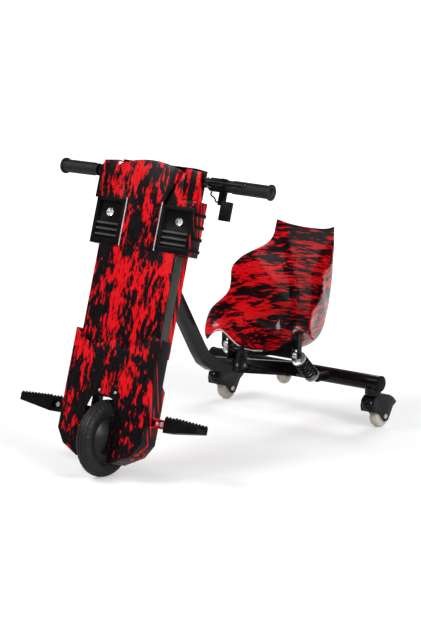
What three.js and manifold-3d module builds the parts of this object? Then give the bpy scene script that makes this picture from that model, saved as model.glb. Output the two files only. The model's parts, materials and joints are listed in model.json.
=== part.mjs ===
// Electric drift trike: driven front wheel in a raked steering column, a bent main tube,
// a sprung bucket seat and two swivelling rear casters.
// Millimetres. +X is the rider's left, -Y the front, +Z up.
import * as THREE from 'three';
import { mergeVertices } from 'three/addons/utils/BufferGeometryUtils.js';
import Module from 'manifold-3d';

const wasm = await Module();
wasm.setup();

// Driving dimensions
const wheelBase = 818; // front axle to rear cross tube
const columnTop = 711; // up the column from the axle to the shoulder panels
const rake = THREE.MathUtils.degToRad(17.5); // column leans back
const gap = 0.3; // clearance between pieces that touch
const overrun = 2; // how far a cutting solid passes what it cuts
const quarterTurn = Math.PI / 2;

const tyre = { radius: 100, width: 46, rimRadius: 66, rimHalf: 16, groove: 1.6, grooveHalf: 1.5,
  segments: 32 };
tyre.sideShares = [0.5, 0.707, 0.866, 0.966];
tyre.beadShare = -0.26;
tyre.grooveShares = [-0.3, 0, 0.3];
const hub = { halfLength: 30, faceRadius: 58, bossRadius: 20, bossHalf: 40, segments: 16 };
const axle = { radius: 8, halfLength: 66, clearance: 0.3 };
const axleNut = { radius: 13, length: 8 };
const fork = { inner: 46, wall: 6, legFront: 16, legRear: 22, legFoot: 26, crownBottom: 104, crownTop: 124 };

// The column's upper pieces are placed down from its top
const shoulder = { inner: 110, outer: 158, height: 79, thickness: 3, topBack: 12, slope: 5 };
shoulder.top = columnTop;
shoulder.bottom = shoulder.top - shoulder.height;
const cover = { halfWidth: 128, front: 16, rear: 38, wall: 3, bottom: 225, topDrop: 11 };
cover.top = columnTop - cover.topDrop;
const pod = { inner: 61, outer: 160, front: 21, slant: 8, rear: 34, height: 142, faceHeight: 122 };
pod.wall = 4;
pod.floor = 3;
pod.tongueFront = 13;
pod.tongueRear = 12;
pod.bottom = shoulder.bottom - pod.height;
pod.faceTop = pod.bottom + pod.faceHeight;
pod.top = cover.top;
const podWindow = { inner: 72, outer: 150, rise: 16, height: 96, recess: 9 };
podWindow.bottom = pod.bottom + podWindow.rise;
podWindow.top = podWindow.bottom + podWindow.height;
const slat = { count: 3, height: 5, depth: 3, pitch: 15, rise: 6 };
const podRib = { count: 4, reach: 4, height: 9, pitch: 31, rise: 11, front: -4 };
const lamp = { x: 113, rise: 84, radius: 10, depth: 8, dome: 4 };
lamp.z = pod.bottom + lamp.rise;
const centrePanel = { topHalf: 101, waistHalf: 60, waistRise: 127, arch: 18, thickness: 3 };
centrePanel.topStep = 2;
centrePanel.bottomStep = 1;
centrePanel.top = cover.top + centrePanel.topStep;
centrePanel.bottom = pod.bottom - centrePanel.bottomStep;
centrePanel.waist = centrePanel.bottom + centrePanel.waistRise;
const crease = { width: 2.5, height: 1.2 };
const sideStrip = { thickness: 2.5, front: 12, back: 19, bottom: 230, topStep: 2 };
sideStrip.top = pod.bottom - sideStrip.topStep;
const dash = { halfWidth: 120, topRise: 5, bottomRise: 8, front: 14, rear: 62, wall: 3, boreGap: 0.6 };
dash.top = columnTop + dash.topRise;
dash.bottom = shoulder.bottom + dash.bottomRise;
const spine = { halfWidth: 20, front: 2, rear: 27, wall: 3 };
spine.top = dash.bottom;

const shroud = { halfWidth: 138, front: 25, rear: 34, wall: 3.5, top: 268, waist: 5 };
shroud.sideTop = 142;
shroud.sideStep = 12;
shroud.upperRear = 20;
shroud.shoulderX = 113;
shroud.shoulderZ = -31;
shroud.footX = 54;
shroud.footZ = -60;
// Wheel slot: half widths and heights of its arched top
shroud.slot = { half: 49, shift: -12, springing: 68, haunchHalf: 37, haunch: 98, crownHalf: 15, crown: 110 };

const handlebar = { y: 33, drop: 28, radius: 11, straight: 148, halfLength: 340, sweep: 17, bend: 8 };
handlebar.sides = 14;
handlebar.steps = 35;
handlebar.z = columnTop - handlebar.drop;
const barClamp = { halfWidth: 26, front: 15, rear: 52, topDrop: 9 };
barClamp.top = columnTop - barClamp.topDrop;
const perch = { inner: 12, width: 28, radius: 18, ear: 5 };
const lever = { pivotX: 26, forward: 42, height: 9, boss: 9, ball: 7, reach: 112, depth: 16 };
lever.pinRadius = 3;
lever.pinHead = 3;
// Blade outline from the pivot outwards, in shares of its reach and depth
const bladeShares = [[0, -0.5], [0.29, -1], [1, -0.69], [1, -0.25], [0.3, -0.5], [0, 0.5]];
lever.blade = bladeShares.map(([a, b]) => [a * lever.reach, b * lever.depth]);
const throttle = { inner: 41, width: 14, radius: 19, ringRadius: 17, drop: 88, depth: 9, thickness: 7 };
throttle.blockWidth = 30;
throttle.blockHeight = 49;
throttle.tailInset = 2;
throttle.tailDrop = 50;
throttle.tailDepth = 6;
const grip = { radius: 16, rib: 1.2, ribWidth: 2.4, ribEnd: 14, flange: 21, flangeWidth: 5 };
grip.ribs = 10;
grip.sides = 16;
grip.clearance = 2;
grip.inner = throttle.inner + throttle.width + gap + throttle.thickness + grip.clearance;
const switchBox = { inner: 13, width: 27, radius: 24, drop: 73, arcSteps: 12 };
const cable = { radius: 2.2, sides: 8, sag: 8, steps: 24, endRise: 8 };

const kingpin = { y: 78, radius: 8, headRadius: 13, headLength: 7 };
const headTube = { drop: 156, length: 120, outer: 22, inner: 17 };
headTube.centre = shoulder.bottom - headTube.drop;
const bush = { flangeRadius: 20, flange: 3, depth: 18 };
const lug = { thickness: 8, halfWidth: 22, clearance: 0.4, plate: 4 };

const battery = { halfWidth: 32, x: 70, rear: 30, bottom: 262, topDrop: 20 };
battery.top = pod.bottom - battery.topDrop;
const controller = { halfWidth: 30, x: -72, rear: 28, height: 120, topDrop: 70, fins: 6, finDepth: 3 };
controller.top = pod.bottom - controller.topDrop;
controller.bottom = controller.top - controller.height;

const pegBracket = { y: 12, z: 62, halfDepth: 10, halfHeight: 12, reach: 180, pocket: 11 };
const peg = { boltX: 172, tip: 292, width: 46, root: 20, tipRoot: 6, teeth: 10, tooth: 5, knuckle: 8 };
peg.boltRadius = 3.5;
peg.top = 19;
peg.tipTop = 13;
peg.rail = 5;
peg.webDrop = 9;
peg.stop = 7;
peg.pinHead = 2.5;
peg.sideGap = 0.5;

const tube = { width: 26, depth: 38, wall: 2.5, slope: 0.224, bendY: 405, bendReach: 42, steps: 20 };
const cross = { z: 129, radius: 21, wall: 2.5, halfLength: 285, segments: 24 };
const endCap = { thickness: 4, rim: 22, depth: 12 };
const stub = { inset: 23, radius: 22.5, bottom: 96, top: 118 };
stub.x = cross.halfLength - stub.inset;
const casterSize = { wheelRadius: 32, wheelWidth: 24, trail: 30, cheekGap: 2, pinRadius: 4 };
casterSize.stemRadius = 7;
casterSize.stemTop = 11;
casterSize.stemLow = 80;
const hood = { length: 84, seatGap: 0.6, halfWidth: 20, ballY: -16, ballZ: 72, ballRadius: 21 };
// Side view of the hood: Y in shares of its length behind the stem, Z in shares of its height
const hoodShares = [
  [-0.33, 0.56], [-0.36, 0.72], [-0.31, 0.88], [-0.2, 0.97], [-0.08, 1], [0.3, 1], [0.6, 0.93], [0.82, 0.82],
  [1, 0.66], [0.8, 0.56], [0.66, 0.36], [0.52, 0.19], [0.36, 0.18], [0.24, 0.3], [0.1, 0.44], [-0.12, 0.5],
].reverse();

const seatMount = { hingeY: -268, hingeZ: 232, pin: 5, ear: 4, baseHalf: 28, lugHalf: 14, earGap: 0.6 };
seatMount.earTop = 11;
seatMount.baseRise = 4;
const seat = { thickness: 4, columns: 20, rows: 22, crest: 45, twist: 24, dieShare: 0.5, dieLift: 90 };
const underPlate = { rear: -60, low: 223, middleLow: 196, rearLow: 186, high: 240, frontHigh: 238 };
underPlate.eyeRadius = 11;
underPlate.lipY = -162;
underPlate.lipHigh = 204;
const shock = { x: 117, topY: -155, topZ: 212, lowY: -72, lowZ: 134, eyeRadius: 9, eyeHalf: 7, bolt: 4 };
shock.collar = 21;
shock.collarThickness = 5;
shock.bodyRadius = 8;
shock.rodRadius = 5;
shock.lowerReach = 3;
shock.upperReach = 5;
shock.bodyLength = 34;
shock.travel = 16;
shock.bushing = 1.4;
const spring = { wire: 3.3, radius: 17.5, turns: 6, stepsPerTurn: 8, sides: 5, endLift: 0.9 };
const shockBracket = { wall: 4, halfGap: 8.5, height: 10, nose: 0, roof: 4 };
const uBracket = { wall: 4, halfGap: 8.5, halfLength: 8.5, earDrop: 8.5, high: 290, roof: 8 };
uBracket.tie = 3;
uBracket.tieLow = 201;
const roller = { y: -50, radius: 28, width: 18, z: 125, pinRadius: 4, slotHalf: 10.3, slotRise: 10 };
const bolt = { head: 3, seat: 0.5 };

// Colours and finishes
const finish = {
  streaked: { color: 0x8a1018, roughness: 0.25, metalness: 0 },
  blackGloss: { color: 0x17181a, roughness: 0.25, metalness: 0.3 },
  blackPlastic: { color: 0x1c1d1f, roughness: 0.5, metalness: 0 },
  rubber: { color: 0x202122, roughness: 0.85, metalness: 0 },
  greyPaint: { color: 0x777a78, roughness: 0.4, metalness: 0.3 },
  steel: { color: 0xb9bcc0, roughness: 0.3, metalness: 1 },
  aluminium: { color: 0x9a9c9e, roughness: 0.4, metalness: 1 },
  lens: { color: 0xf0f0e4, roughness: 0.1, metalness: 0 },
  translucent: { color: 0xe8e3cf, roughness: 0.3, metalness: 0 },
  blueWrap: { color: 0x2a4f86, roughness: 0.5, metalness: 0 },
};

function mesh(name, geometry, look) {
  const piece = new THREE.Mesh(geometry, new THREE.MeshStandardMaterial(finish[look]));
  piece.name = name;
  return piece;
}

// Solids from geometry, and back

function toSolid(geometry) {
  const bare = geometry.clone();
  for (const name of Object.keys(bare.attributes)) {
    if (name !== 'position') bare.deleteAttribute(name);
  }
  const merged = mergeVertices(bare, 1e-4);
  return new wasm.Manifold(
    new wasm.Mesh({
      numProp: 3,
      vertProperties: new Float32Array(merged.attributes.position.array),
      triVerts: new Uint32Array(merged.index.array),
    }),
  );
}

function fromSolid(solid) {
  const data = solid.getMesh();
  const geometry = new THREE.BufferGeometry();
  geometry.setAttribute('position', new THREE.BufferAttribute(new Float32Array(data.vertProperties), 3));
  geometry.setIndex(new THREE.BufferAttribute(new Uint32Array(data.triVerts), 1));
  return geometry;
}

function join(...geometries) {
  return fromSolid(geometries.map(toSolid).reduce((sum, item) => sum.add(item)));
}

function cut(geometry, ...tools) {
  return fromSolid(tools.map(toSolid).reduce((sum, item) => sum.subtract(item), toSolid(geometry)));
}

// Simple shapes

function block(x0, x1, y0, y1, z0, z1) {
  const box = new THREE.BoxGeometry(x1 - x0, y1 - y0, z1 - z0);
  return box.translate((x0 + x1) / 2, (y0 + y1) / 2, (z0 + z1) / 2);
}

function rodX(radius, x0, x1, y, z, sides = hub.segments) {
  const rod = new THREE.CylinderGeometry(radius, radius, x1 - x0, sides);
  return rod.rotateZ(quarterTurn).translate((x0 + x1) / 2, y, z);
}

function rodY(radius, y0, y1, x, z, sides = hub.segments) {
  const rod = new THREE.CylinderGeometry(radius, radius, y1 - y0, sides);
  return rod.translate(x, (y0 + y1) / 2, z);
}

function rodZ(radius, z0, z1, x, y, sides = hub.segments) {
  const rod = new THREE.CylinderGeometry(radius, radius, z1 - z0, sides);
  return rod.rotateX(quarterTurn).translate(x, y, (z0 + z1) / 2);
}

// A ring or shaft turned about X from a closed profile of [radius, x] points
function turnedX(profile, segments) {
  const points = profile.map(([radius, x]) => new THREE.Vector2(radius, x));
  return new THREE.LatheGeometry(points, segments).rotateZ(-quarterTurn);
}

function outline(points) {
  return new THREE.Shape(points.map(([a, b]) => new THREE.Vector2(a, b)));
}

// A plate whose outline lies in X and Z, from y0 back to y1
function plateXZ(points, y0, y1) {
  const plate = new THREE.ExtrudeGeometry(outline(points), { depth: y1 - y0, bevelEnabled: false });
  return plate.rotateX(quarterTurn).translate(0, y1, 0);
}

// A plate whose outline lies in Y and Z, from x0 to x1
function plateYZ(points, x0, x1) {
  const plate = new THREE.ExtrudeGeometry(outline(points), { depth: x1 - x0, bevelEnabled: false });
  return plate.rotateX(quarterTurn).rotateZ(quarterTurn).translate(x0, 0, 0);
}

function circlePoints(radius, sides) {
  return Array.from({ length: sides }, (_, i) => {
    const angle = (i / sides) * 2 * Math.PI;
    return [radius * Math.cos(angle), radius * Math.sin(angle)];
  });
}

function pipe(curve, shape, steps) {
  return new THREE.ExtrudeGeometry(shape, { steps, extrudePath: curve, bevelEnabled: false });
}

// Front wheel, turned about the axle

function wheelPieces() {
  const group = new THREE.Group();
  const half = tyre.width / 2;
  const centre = tyre.radius - half;
  const onArc = (share) => [centre + half * Math.sqrt(1 - share * share), share * half];
  const bead = [centre + tyre.beadShare * half, half * Math.sqrt(1 - tyre.beadShare ** 2)];
  const flank = [[tyre.rimRadius, tyre.rimHalf], bead, ...[...tyre.sideShares].reverse().map(onArc)];
  const profile = flank.map(([radius, x]) => [radius, -x]);
  for (const share of tyre.grooveShares) {
    const [radius, x] = onArc(share);
    profile.push([radius, x - tyre.grooveHalf], [radius - tyre.groove, x], [radius, x + tyre.grooveHalf]);
  }
  profile.push(...flank.reverse(), [tyre.rimRadius, -tyre.rimHalf]);
  group.add(mesh('front_tyre', turnedX(profile, tyre.segments), 'rubber'));
  const rim = tyre.rimRadius - gap;
  const bore = axle.radius + axle.clearance;
  const motor = [
    [bore, -hub.bossHalf], [hub.bossRadius, -hub.bossHalf], [hub.bossRadius, -hub.halfLength],
    [hub.faceRadius, -tyre.rimHalf], [rim, -tyre.rimHalf], [rim, tyre.rimHalf],
    [hub.faceRadius, tyre.rimHalf], [hub.bossRadius, hub.halfLength], [hub.bossRadius, hub.bossHalf],
    [bore, hub.bossHalf], [bore, -hub.bossHalf],
  ];
  group.add(mesh('hub_motor', turnedX(motor, hub.segments), 'blackGloss'));
  return group;
}

// The through axle with a nut against each fork leg
function axleWithNuts() {
  const seatFace = fork.inner + fork.wall + gap;
  const nut = (side) => rodX(
    axleNut.radius, side > 0 ? seatFace : -seatFace - axleNut.length,
    side > 0 ? seatFace + axleNut.length : -seatFace,
    0, 0, 6,
  );
  return join(rodX(axle.radius, -axle.halfLength, axle.halfLength, 0, 0), nut(-1), nut(1));
}

// Column structure, in the raked frame: its Z runs up the column from the axle

function forkAndSpine() {
  const leg = (side) => block(
    side > 0 ? fork.inner : -fork.inner - fork.wall, side > 0 ? fork.inner + fork.wall : -fork.inner,
    -fork.legFront, fork.legRear, -fork.legFoot, fork.crownBottom + overrun,
  );
  const reach = fork.inner + fork.wall;
  const crown = block(-reach, reach, -fork.legFront, spine.rear, fork.crownBottom, fork.crownTop);
  const bore = axle.radius + axle.clearance;
  const whole = join(leg(-1), leg(1), crown);
  return cut(whole, rodX(bore, -reach - overrun, reach + overrun, 0, 0));
}

function spineTube() {
  const outer = block(-spine.halfWidth, spine.halfWidth, spine.front, spine.rear, fork.crownTop + gap,
    spine.top);
  const inner = block(
    -spine.halfWidth + spine.wall, spine.halfWidth - spine.wall, spine.front + spine.wall,
    spine.rear - spine.wall, fork.crownTop - overrun, spine.top + overrun,
  );
  return cut(outer, inner);
}

function lugPlate(z0) {
  const back = spine.rear + gap;
  const arm = block(-lug.halfWidth, lug.halfWidth, back, kingpin.y, z0, z0 + lug.thickness);
  const nose = rodZ(lug.halfWidth, z0, z0 + lug.thickness, 0, kingpin.y);
  const bore = rodZ(kingpin.radius + gap, z0 - overrun, z0 + lug.thickness + overrun, 0, kingpin.y);
  return cut(join(arm, nose), bore);
}

// Both kingpin lugs on one plate behind the spine
function steeringYoke() {
  const back = spine.rear + gap;
  const plate = block(
    -lug.halfWidth, lug.halfWidth, back, back + lug.plate, lugLowerTop - lug.thickness,
    lugUpperBottom + lug.thickness,
  );
  return join(plate, lugPlate(lugLowerTop - lug.thickness), lugPlate(lugUpperBottom));
}

const headBottom = headTube.centre - headTube.length / 2;
const headTop = headTube.centre + headTube.length / 2;
const lugLowerTop = headBottom - bush.flange - lug.clearance;
const lugUpperBottom = headTop + bush.flange + lug.clearance;

function columnStructure() {
  const group = new THREE.Group();
  group.add(mesh('fork', forkAndSpine(), 'blackGloss'));
  group.add(mesh('steering_spine', spineTube(), 'blackGloss'));
  group.add(mesh('steering_yoke', steeringYoke(), 'blackGloss'));
  const under = lugLowerTop - lug.thickness - gap;
  const over = lugUpperBottom + lug.thickness + gap;
  const pin = join(
    rodZ(kingpin.radius, under - kingpin.headLength, over + kingpin.headLength, 0, kingpin.y),
    rodZ(kingpin.headRadius, under - kingpin.headLength, under, 0, kingpin.y, 6),
    rodZ(kingpin.headRadius, over, over + kingpin.headLength, 0, kingpin.y, 6),
  );
  group.add(mesh('kingpin', pin, 'steel'));
  return group;
}

// Covers

function frontCover() {
  const half = cover.halfWidth - sideStrip.thickness - gap;
  const { front, wall, bottom } = cover;
  const lower = cut(
    block(-half, half, -front, sideStrip.back, bottom, pod.bottom - gap),
    block(-half + wall, half - wall, -front + wall, sideStrip.back + overrun, bottom - overrun, pod.bottom),
  );
  const tongue = pod.inner - gap;
  return join(lower, block(-tongue, tongue, -front, -front + wall, pod.bottom - overrun, cover.top));
}

function rearCover() {
  const { halfWidth: half, rear, wall, bottom } = cover;
  const front = sideStrip.back + gap;
  const top = dash.bottom - gap;
  const shell = cut(
    block(-half, half, front, rear, bottom, top),
    block(-half + wall, half - wall, front - overrun, rear - wall, bottom - overrun, top + overrun),
    block(-half - overrun, half + overrun, front - overrun, pod.rear + gap, pod.bottom - gap, top + overrun),
  );
  const slots = [lugLowerTop - lug.thickness, lugUpperBottom].map((z0) => block(
    -lug.halfWidth - gap, lug.halfWidth + gap, rear - wall - overrun, rear + overrun,
    z0 - gap, z0 + lug.thickness + gap,
  ));
  return cut(shell, ...slots);
}

// Torn top edge of the shroud, in shares of its half width and height
const seamShares = [
  [-1, 0], [-0.81, -0.085], [-0.54, -0.135], [-0.02, -0.06], [0.17, -0.137], [0.55, -0.06], [0.84, 0.04],
  [1, 0],
];

function shroudShell() {
  const { halfWidth: half, wall, top, slot } = shroud;
  const low = (inset) => [
    [half - inset, shroud.waist], [shroud.shoulderX - inset, shroud.shoulderZ + inset],
    [shroud.footX, shroud.footZ + inset], [-shroud.footX, shroud.footZ + inset],
    [-shroud.shoulderX + inset, shroud.shoulderZ + inset], [-half + inset, shroud.waist],
  ];
  const seam = seamShares.map(([a, b]) => [a * half, top * (1 + b)]);
  const body = plateXZ([...seam, ...low(0)], -shroud.front, shroud.rear);
  const roof = top + top;
  const hollow = plateXZ(
    [[-half + wall, roof], [half - wall, roof], ...low(wall)], -shroud.front + wall, shroud.rear + overrun,
  );
  // Above the wheel the side walls step forward to the depth of the column's own
  const upperSides = plateYZ(
    [[shroud.upperRear, roof], [shroud.upperRear, shroud.sideTop + shroud.sideStep],
      [shroud.rear - shroud.sideStep, shroud.sideTop + shroud.sideStep],
      [shroud.rear + overrun, shroud.sideTop - overrun],
      [shroud.rear + overrun, roof]],
    -half - overrun, half + overrun,
  );
  const wheelSlot = plateXZ(
    [[-slot.half, -tyre.radius], [-slot.half, slot.springing], [-slot.haunchHalf, slot.haunch],
      [-slot.crownHalf, slot.crown], [slot.crownHalf, slot.crown], [slot.haunchHalf, slot.haunch],
      [slot.half, slot.springing], [slot.half, -tyre.radius]],
    -shroud.front - overrun, shroud.rear + overrun,
  ).translate(slot.shift, 0, 0);
  const armHoles = block(
    -half - overrun, half + overrun, pegBracket.y - pegBracket.halfDepth - gap,
    pegBracket.y + pegBracket.halfDepth + gap, pegBracket.z - pegBracket.halfHeight - gap,
    pegBracket.z + pegBracket.halfHeight + gap,
  );
  return cut(body, hollow, upperSides, wheelSlot, armHoles);
}

function centrePanelPlate() {
  const p = centrePanel;
  const lowSide = [[p.waistHalf, p.waist], [p.waistHalf, p.bottom], [-p.waistHalf, p.bottom],
    [-p.waistHalf, p.waist]];
  const arcSteps = 8;
  const arc = Array.from({ length: arcSteps + 1 }, (_, i) => {
    const share = (2 * i) / arcSteps - 1;
    return [share * p.topHalf, p.top + p.arch * (1 - share * share)];
  });
  const back = -cover.front - gap;
  const plate = plateXZ([...arc, ...lowSide], back - p.thickness, back);
  const ridges = [-1, 1].map((side) => {
    const edge = side * (p.waistHalf - crease.width);
    return block(
      edge - crease.width / 2, edge + crease.width / 2, back - p.thickness - crease.height,
      back - p.thickness / 2,
      p.bottom + crease.width, p.waist,
    );
  });
  return join(plate, ...ridges);
}

function lampBore(radius) {
  return rodY(radius, -pod.front - overrun, pod.rear + overrun, lamp.x, lamp.z);
}

// The pod's slanted face: how far forward it stands at a distance from the middle
function podFace(x) {
  return -pod.front + (pod.slant * (x - pod.inner)) / (pod.outer - pod.inner);
}

// A layer of the pod between two depths behind its slanted face
function podLayer(x0, x1, near, far, z0, z1) {
  return plateXYPoints(
    [[x0, podFace(x0) + near], [x1, podFace(x1) + near], [x1, podFace(x1) + far],
      [x0, podFace(x0) + far]], z0, z1,
  );
}

// One light pod, on the rider's left; the other is its mirror image
function podShell() {
  const { inner, outer, rear, bottom, wall, floor } = pod;
  const w = podWindow;
  const shoulderFloor = shoulder.bottom - gap;
  const tongueSide = shoulder.inner - gap;
  const body = join(
    block(inner, outer, -pod.tongueFront, rear, bottom, shoulderFloor),
    plateXYPoints([[inner, podFace(inner)], [outer, podFace(outer)], [outer, rear], [inner, rear]],
      bottom, pod.faceTop),
    block(inner, tongueSide, -pod.tongueFront, pod.tongueRear, bottom, pod.top),
  );
  const behind = pod.front + rear + overrun;
  const hollow = podLayer(inner + wall, outer - wall, w.recess + floor, behind, bottom + wall,
    shoulderFloor - wall);
  const recess = podLayer(w.inner, w.outer, -overrun, w.recess, w.bottom, w.top);
  const slats = Array.from({ length: slat.count }, (_, i) => {
    const low = w.bottom + slat.rise + i * slat.pitch;
    return podLayer(w.inner - overrun, w.outer + overrun, slat.depth, w.recess + floor / 2, low,
      low + slat.height);
  });
  const ribs = Array.from({ length: podRib.count }, (_, i) => {
    const low = bottom + podRib.rise + i * podRib.pitch;
    return block(outer - overrun, outer + podRib.reach, podRib.front, rear, low, low + podRib.height);
  });
  const plain = cut(body, hollow, recess);
  return cut(join(plain, ...slats, ...ribs), lampBore(lamp.radius + gap));
}

function shoulderShell() {
  const { inner, outer, top, bottom, thickness, topBack } = shoulder;
  const front = -cover.front;
  const shell = cut(
    block(inner, outer, front, topBack, bottom, top),
    block(inner - overrun, outer - thickness, front + thickness, topBack + overrun, bottom - overrun,
      top - thickness),
  );
  const slopeCut = plateXZ(
    [[inner - overrun, top + overrun], [inner - overrun, top], [outer + overrun, top - shoulder.slope],
      [outer + overrun, top + overrun]],
    front - overrun, topBack + overrun,
  );
  return shoulder.slope > 0 ? cut(shell, slopeCut) : shell;
}

function mirroredX(geometry) {
  return fromSolid(toSolid(geometry).mirror([1, 0, 0]));
}

function lampLens() {
  const lens = new THREE.LatheGeometry(
    [[0, -lamp.dome], [lamp.radius * 0.6, -lamp.dome * 0.8], [lamp.radius, 0], [lamp.radius, lamp.depth],
      [0, lamp.depth]]
      .map(([radius, y]) => new THREE.Vector2(radius, y)),
    hub.segments,
  );
  return lens.translate(lamp.x, podFace(lamp.x) + podWindow.recess - lamp.depth / 2, lamp.z);
}

function dashShell() {
  const { halfWidth: half, bottom, top, front, rear, wall } = dash;
  const shell = cut(
    block(-half, half, front, rear, bottom, top),
    block(-half + wall, half - wall, front - overrun, rear - wall, bottom + wall, top - wall),
  );
  const stemRoom = block(
    -barClamp.halfWidth - gap, barClamp.halfWidth + gap, front - overrun, barClamp.rear + gap,
    bottom - overrun, bottom + wall + overrun,
  );
  const barRoom = rodX(
    handlebar.radius + dash.boreGap, -half - overrun, half + overrun, handlebar.y, handlebar.z,
  );
  return cut(shell, stemRoom, barRoom);
}

function coverPieces() {
  const group = new THREE.Group();
  group.add(mesh('column_front_cover', frontCover(), 'streaked'));
  group.add(mesh('column_rear_cover', rearCover(), 'streaked'));
  group.add(mesh('wheel_shroud', shroudShell(), 'streaked'));
  group.add(mesh('centre_panel', centrePanelPlate(), 'streaked'));
  group.add(mesh('dash_housing', dashShell(), 'blackPlastic'));
  const face = cover.halfWidth - sideStrip.thickness;
  const leftStrip = block(
    face, cover.halfWidth, -sideStrip.front, sideStrip.back, sideStrip.bottom, sideStrip.top,
  );
  const sided = {
    side_strip: [leftStrip, 'greyPaint'],
    light_pod: [podShell(), 'blackPlastic'],
    shoulder_panel: [shoulderShell(), 'streaked'],
    lamp_lens: [lampLens(), 'lens'],
  };
  for (const [name, [geometry, look]] of Object.entries(sided)) {
    group.add(mesh(`${name}_left`, geometry, look));
    group.add(mesh(`${name}_right`, mirroredX(geometry), look));
  }
  return group;
}

// Power pack behind the front cover

function powerPieces() {
  const group = new THREE.Group();
  const face = -cover.front + cover.wall + gap;
  const b = battery;
  const pack = block(b.x - b.halfWidth, b.x + b.halfWidth, face, b.rear, b.bottom, b.top);
  group.add(mesh('battery_pack', pack, 'blueWrap'));
  const c = controller;
  const body = block(c.x - c.halfWidth, c.x + c.halfWidth, face, c.rear, c.bottom, c.top);
  const finPitch = (2 * c.halfWidth) / c.fins;
  const grooves = Array.from({ length: c.fins - 1 }, (_, i) => {
    const x = c.x - c.halfWidth + (i + 1) * finPitch;
    return block(x - finPitch / 4, x + finPitch / 4, c.rear - c.finDepth, c.rear + overrun, c.bottom - overrun,
      c.top + overrun);
  });
  group.add(mesh('motor_controller', cut(body, ...grooves), 'aluminium'));
  return group;
}

// Handlebar and its controls. On each side a swept frame starts at the bend.

const sweepAngle = Math.atan2(handlebar.sweep, handlebar.halfLength - handlebar.straight);
const sweptLength = Math.hypot(handlebar.sweep, handlebar.halfLength - handlebar.straight);

function handlebarTube() {
  const { y, z, straight, halfLength, sweep, radius, bend } = handlebar;
  const at = (x, back) => new THREE.Vector3(x, y + back, z);
  const along = (side, s) => at(side * (straight + s * Math.cos(sweepAngle)), s * Math.sin(sweepAngle));
  const path = new THREE.CurvePath();
  path.add(new THREE.LineCurve3(at(-halfLength, sweep), along(-1, bend)));
  path.add(new THREE.QuadraticBezierCurve3(along(-1, bend), at(-straight, 0), at(-straight + bend, 0)));
  path.add(new THREE.LineCurve3(at(-straight + bend, 0), at(straight - bend, 0)));
  path.add(new THREE.QuadraticBezierCurve3(at(straight - bend, 0), at(straight, 0), along(1, bend)));
  path.add(new THREE.LineCurve3(along(1, bend), at(halfLength, sweep)));
  return pipe(path, outline(circlePoints(radius, handlebar.sides)), handlebar.steps);
}

function sweptFrame(side) {
  const frame = new THREE.Group();
  frame.position.set(side * handlebar.straight, handlebar.y, handlebar.z);
  frame.rotation.z = side * sweepAngle;
  return frame;
}

function gripSleeve(side) {
  const bore = handlebar.radius + gap;
  const { inner } = grip;
  const outer = sweptLength;
  const sleeve = turnedX(
    [[bore, inner], [grip.radius, inner], [grip.radius, outer - grip.flangeWidth],
      [grip.flange, outer - grip.flangeWidth],
      [grip.flange, outer], [bore, outer], [bore, inner]],
    grip.sides,
  );
  const ribs = Array.from({ length: grip.ribs }, (_, i) => {
    const rib = block(
      inner + grip.ribEnd, outer - grip.flangeWidth, -grip.ribWidth / 2, grip.ribWidth / 2,
      grip.radius - grip.rib, grip.radius + grip.rib,
    );
    return rib.rotateX((i / grip.ribs) * 2 * Math.PI);
  });
  const whole = join(sleeve, ...ribs);
  return side > 0 ? whole : mirroredX(whole);
}

// Brake lever: its pivot is in front of the bar, its blade runs outwards in front of the grip
function leverPieces() {
  const pivot = new THREE.Group();
  pivot.name = 'pivot_brake_lever';
  pivot.position.set(lever.pivotX, -lever.forward, 0);
  const half = lever.height / 2;
  const boss = rodZ(lever.boss, -half, half, 0, 0);
  const blade = plateXYPoints(lever.blade, -half, half);
  const tip = new THREE.SphereGeometry(lever.ball, 12, 8);
  const [tipX, tipY] = lever.blade[2];
  tip.translate(tipX, tipY + lever.ball / 2, 0);
  const bore = rodZ(lever.pinRadius + gap, -lever.height, lever.height, 0, 0);
  pivot.add(mesh('brake_lever', cut(join(boss, blade, tip), bore), 'blackGloss'));
  return pivot;
}

function plateXYPoints(points, z0, z1) {
  const plate = new THREE.ExtrudeGeometry(outline(points), { depth: z1 - z0, bevelEnabled: false });
  return plate.translate(0, 0, z0);
}

// Clamp around the bar with two ears and the lever's pin; X from the bend, Y and Z from the bar's axis
function perchBody() {
  const end = perch.inner + perch.width;
  const ring = rodX(perch.radius, perch.inner, end, 0, 0);
  const slotHalf = lever.height / 2 + gap;
  const ear = (z0) => block(
    lever.pivotX - lever.boss, lever.pivotX + lever.boss, -lever.forward - lever.boss, 0, z0, z0 + perch.ear,
  );
  const leverRoom = block(
    perch.inner - overrun, end + overrun, -lever.forward - lever.boss - overrun,
    -lever.forward + lever.boss + overrun,
    -slotHalf, slotHalf,
  );
  const bore = rodX(handlebar.radius + gap, perch.inner - overrun, end + overrun, 0, 0);
  const pinReach = slotHalf + perch.ear;
  const pin = rodZ(lever.pinRadius, -pinReach, pinReach + lever.pinHead, lever.pivotX, -lever.forward, 16);
  return join(cut(join(ring, ear(slotHalf), ear(-slotHalf - perch.ear)), leverRoom, bore), pin);
}

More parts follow.
